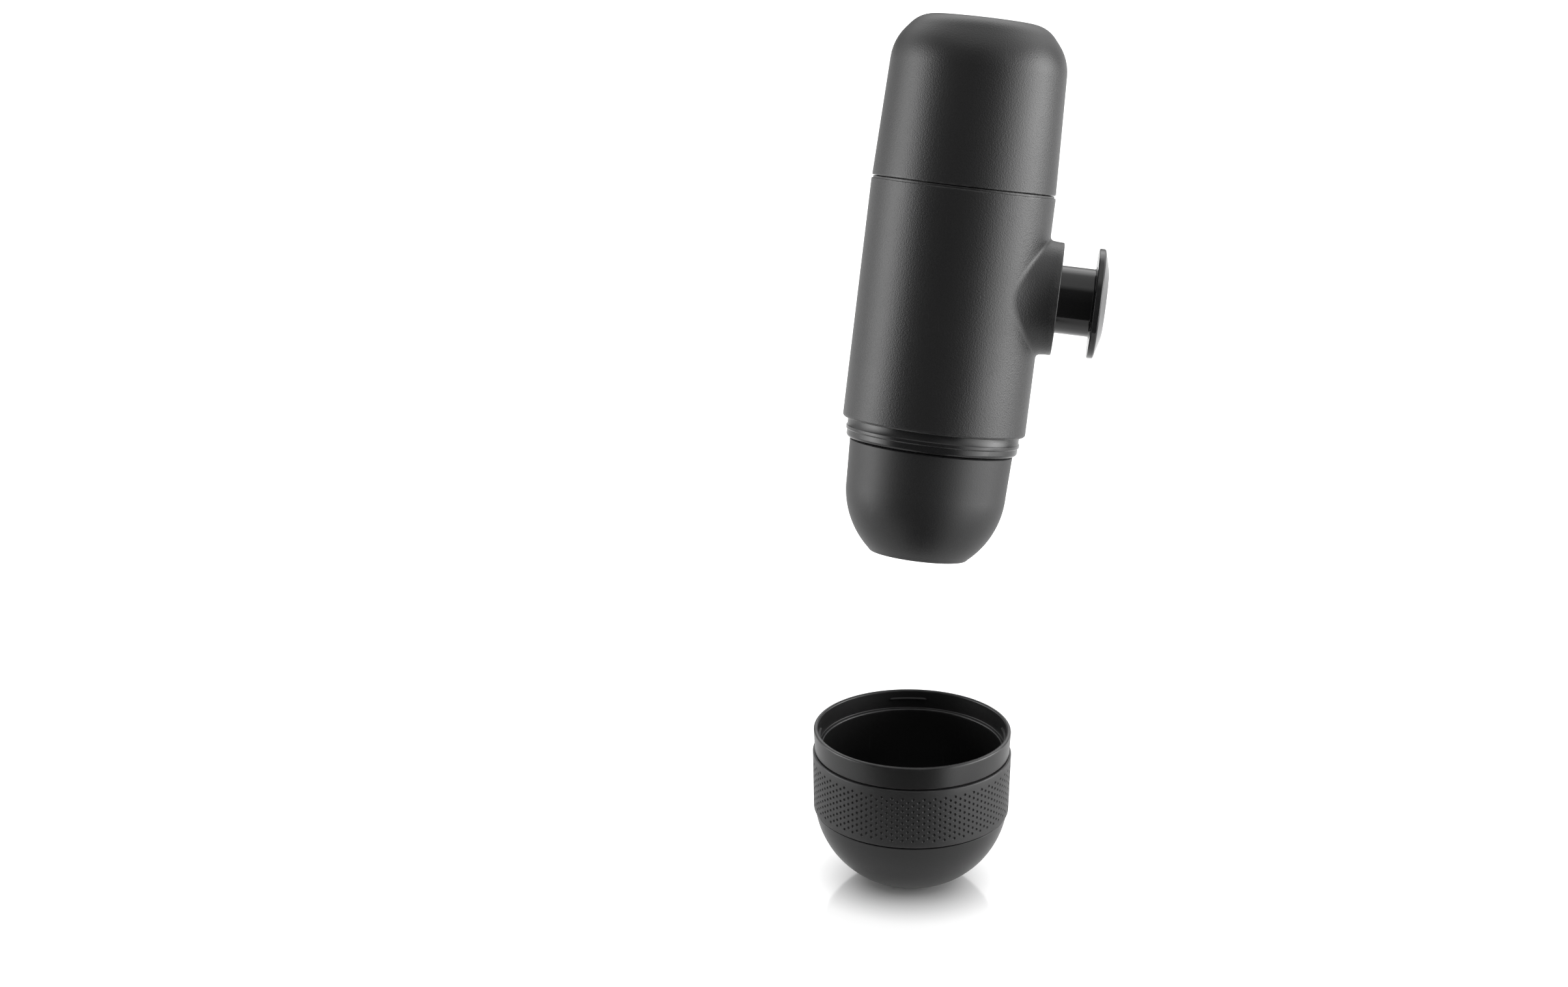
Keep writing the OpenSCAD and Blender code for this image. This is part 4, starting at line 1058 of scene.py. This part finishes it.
tile = bmesh.new()
SIDES = 8
border = [(-1, -1), (0, -1), (1, -1), (1, 0), (1, 1), (0, 1), (-1, 1), (-1, 0)]
rings = [[tile.verts.new((x * tile_w / 2, y * pit_pitch / 2, 0)) for x, y in border]]
for radius, depth in ((0.54, 0.0), (0.46, -0.06), (0.34, -0.3), (0.14, -0.42)):
    turns = [radians(-135 + 360 * k / SIDES) for k in range(SIDES)]
    rings.append([tile.verts.new((radius * cos(a), radius * sin(a), depth)) for a in turns])
for outer, inner in zip(rings, rings[1:]):
    for i in range(SIDES):
        j = (i + 1) % SIDES
        tile.faces.new((outer[i], outer[j], inner[j], inner[i]))
tile.faces.new(rings[-1])
band_rubber = moulded("band rubber", (0.015, 0.015, 0.0153), 0.45, grain=0.3, depth=0.012,
                      rubbed=0.25, uneven=0.06)
one_pit = as_mesh(tile, band_rubber, AS_DRAWN)
pits = grow(pitted_band(), band_rubber, {
    "Columns": PIT_COLUMNS, "Rows": PIT_ROWS, "Width": tile_w, "Pitch": pit_pitch, "Bottom": pit_low,
    "Low radius": grip_radius(pit_low), "Taper": grip_taper,
}, one_pit)
sleeve = outline(
    (grip_radius(pit_top), pit_top), (grip_high_r, grip_top, 0.4), (bed_r, grip_top),
    (bed_r, grip_z), (grip_low_r, grip_z, 0.35), (grip_radius(pit_low), pit_low), closed=False)
bm = bmesh.new()
spin(bm, sleeve, 2 * PIT_COLUMNS, closed=False)
bm.from_mesh(pits)
bmesh.ops.remove_doubles(bm, verts=bm.verts, dist=0.01)
face_out(bm)
shown("grip", as_mesh(bm, band_rubber, MM), "cup", "cup_grip")


# ---- Table, light and camera ----
# A white sweep of glossy paper that glows. The glow fades out close round the cup: a painted
# shadow over its real one, which stays where the cup stands at rest.
# A tall soft box stands on each side of the maker and a wide one hangs overhead, with the
# dark room behind the camera, which looks from a little above.

scene = bpy.context.scene
white = (1.0, 1.0, 1.0, 1.0)
paper = bpy.data.materials.new("paper")
paper.use_nodes = True
tree = paper.node_tree
away = length(wire(tree, "ShaderNodeTexCoord", output="Object"))
# Painted shadow: the paper's glow fades to nothing close round the place where the cup stands at rest.
clear_of_close_painted_shadow, clear_of_wide_painted_shadow = ramp(away, 0.014, 0.034), ramp(away, 0.04, 0.3)
glow_past_close_painted_shadow, glow_past_wide_painted_shadow, mirrored_glow_in_painted_shadow, mirrored_glow_past_painted_shadow = 0.46, 0.6, 0.09, 0.28
path = tree.nodes.new("ShaderNodeLightPath").outputs
seen = calc("MULTIPLY_ADD", clear_of_close_painted_shadow, glow_past_close_painted_shadow, product(clear_of_wide_painted_shadow, glow_past_wide_painted_shadow))
seen = product(path["Is Camera Ray"], seen)
through = calc("MAXIMUM", path["Is Glossy Ray"], path["Is Transmission Ray"])
# The glow that gloss sees is dimmer close round the cup too, so the painted shadow shows in
# reflections.
mirrored = product(through, calc("MULTIPLY_ADD", clear_of_wide_painted_shadow, mirrored_glow_past_painted_shadow, mirrored_glow_in_painted_shadow))
feed(tree.nodes["Principled BSDF"], {
    "Roughness": 0.12,
    "Specular IOR Level": 1.0,
    "Base Color": tint(clear_of_wide_painted_shadow, (0.8, 0.8, 0.8, 1.0), (0.6, 0.6, 0.6, 1.0)),
    "Emission Color": white,
    "Emission Strength": calc("MAXIMUM", seen, mirrored),
})
half_table, table_middle_y = 3.0, 2.925
bm = bmesh.new()
bmesh.ops.create_grid(bm, x_segments=1, y_segments=1, size=half_table,
                      matrix=Matrix.Translation((0, table_middle_y, 0)))
table = linked("table", as_mesh(bm, paper, AS_DRAWN))

world = bpy.data.worlds.new("room")
scene.world = world
world.use_nodes = True
tree = world.node_tree
tree.nodes.clear()
way = axes(wire(tree, "ShaderNodeTexCoord", output="Generated"))
bearing = calc("ARCTAN2", way["X"], product(way["Y"], -1.0))
round_room = calc("MULTIPLY_ADD", bearing, 0.5 / pi, 0.5)
BRIGHTEST = 9.0


def walls(stops):
    """How bright the room is all round, by degrees from the camera round to the right."""
    node = wire(tree, "ShaderNodeValToRGB", {"Fac": round_room}).node
    stop_at = node.color_ramp.elements
    for element in stop_at[:]:
        element.color = (*[stops[180] / BRIGHTEST] * 3, 1.0)
    for degrees, strength in stops.items():
        if degrees != 180:
            stop_at.new(degrees / 360 + 0.5).color = (*[strength / BRIGHTEST] * 3, 1.0)
    return product(node.outputs["Color"], BRIGHTEST)


boxes = walls({-150: 0.3, -120: 1.2, -90: 6.8, -60: 0.1, 30: 0.05, 60: 3.7, 90: 9.0, 120: 0.3,
               150: 0.8, 180: 0.3})
upper = walls({-90: 0.4, 0: 0.1, 90: 1.5, 180: 2.3})
height = calc("ARCSINE", way["Z"])
above_boxes = ramp(height, radians(12), radians(32))
overhead = ramp(height, radians(50), radians(65))
sides = wire(tree, "ShaderNodeMix", {0: above_boxes, 2: boxes, 3: upper})
room = wire(tree, "ShaderNodeMix", {0: overhead, 2: sides, 3: 1.0})
seen_white = tree.nodes.new("ShaderNodeLightPath").outputs["Is Camera Ray"]
glow = {"Color": white, "Strength": calc("MAXIMUM", room, seen_white)}
glow = {"Surface": wire(tree, "ShaderNodeBackground", glow)}
feed(tree.nodes.new("ShaderNodeOutputWorld"), glow)

camera = linked("camera", bpy.data.cameras.new("camera"))
camera.location = (-0.0395, -0.7823, 0.3971)
camera.rotation_euler = (radians(70.9), 0, 0)
camera.data.lens = 63.56
scene.camera = camera
scene.view_settings.view_transform = "Standard"
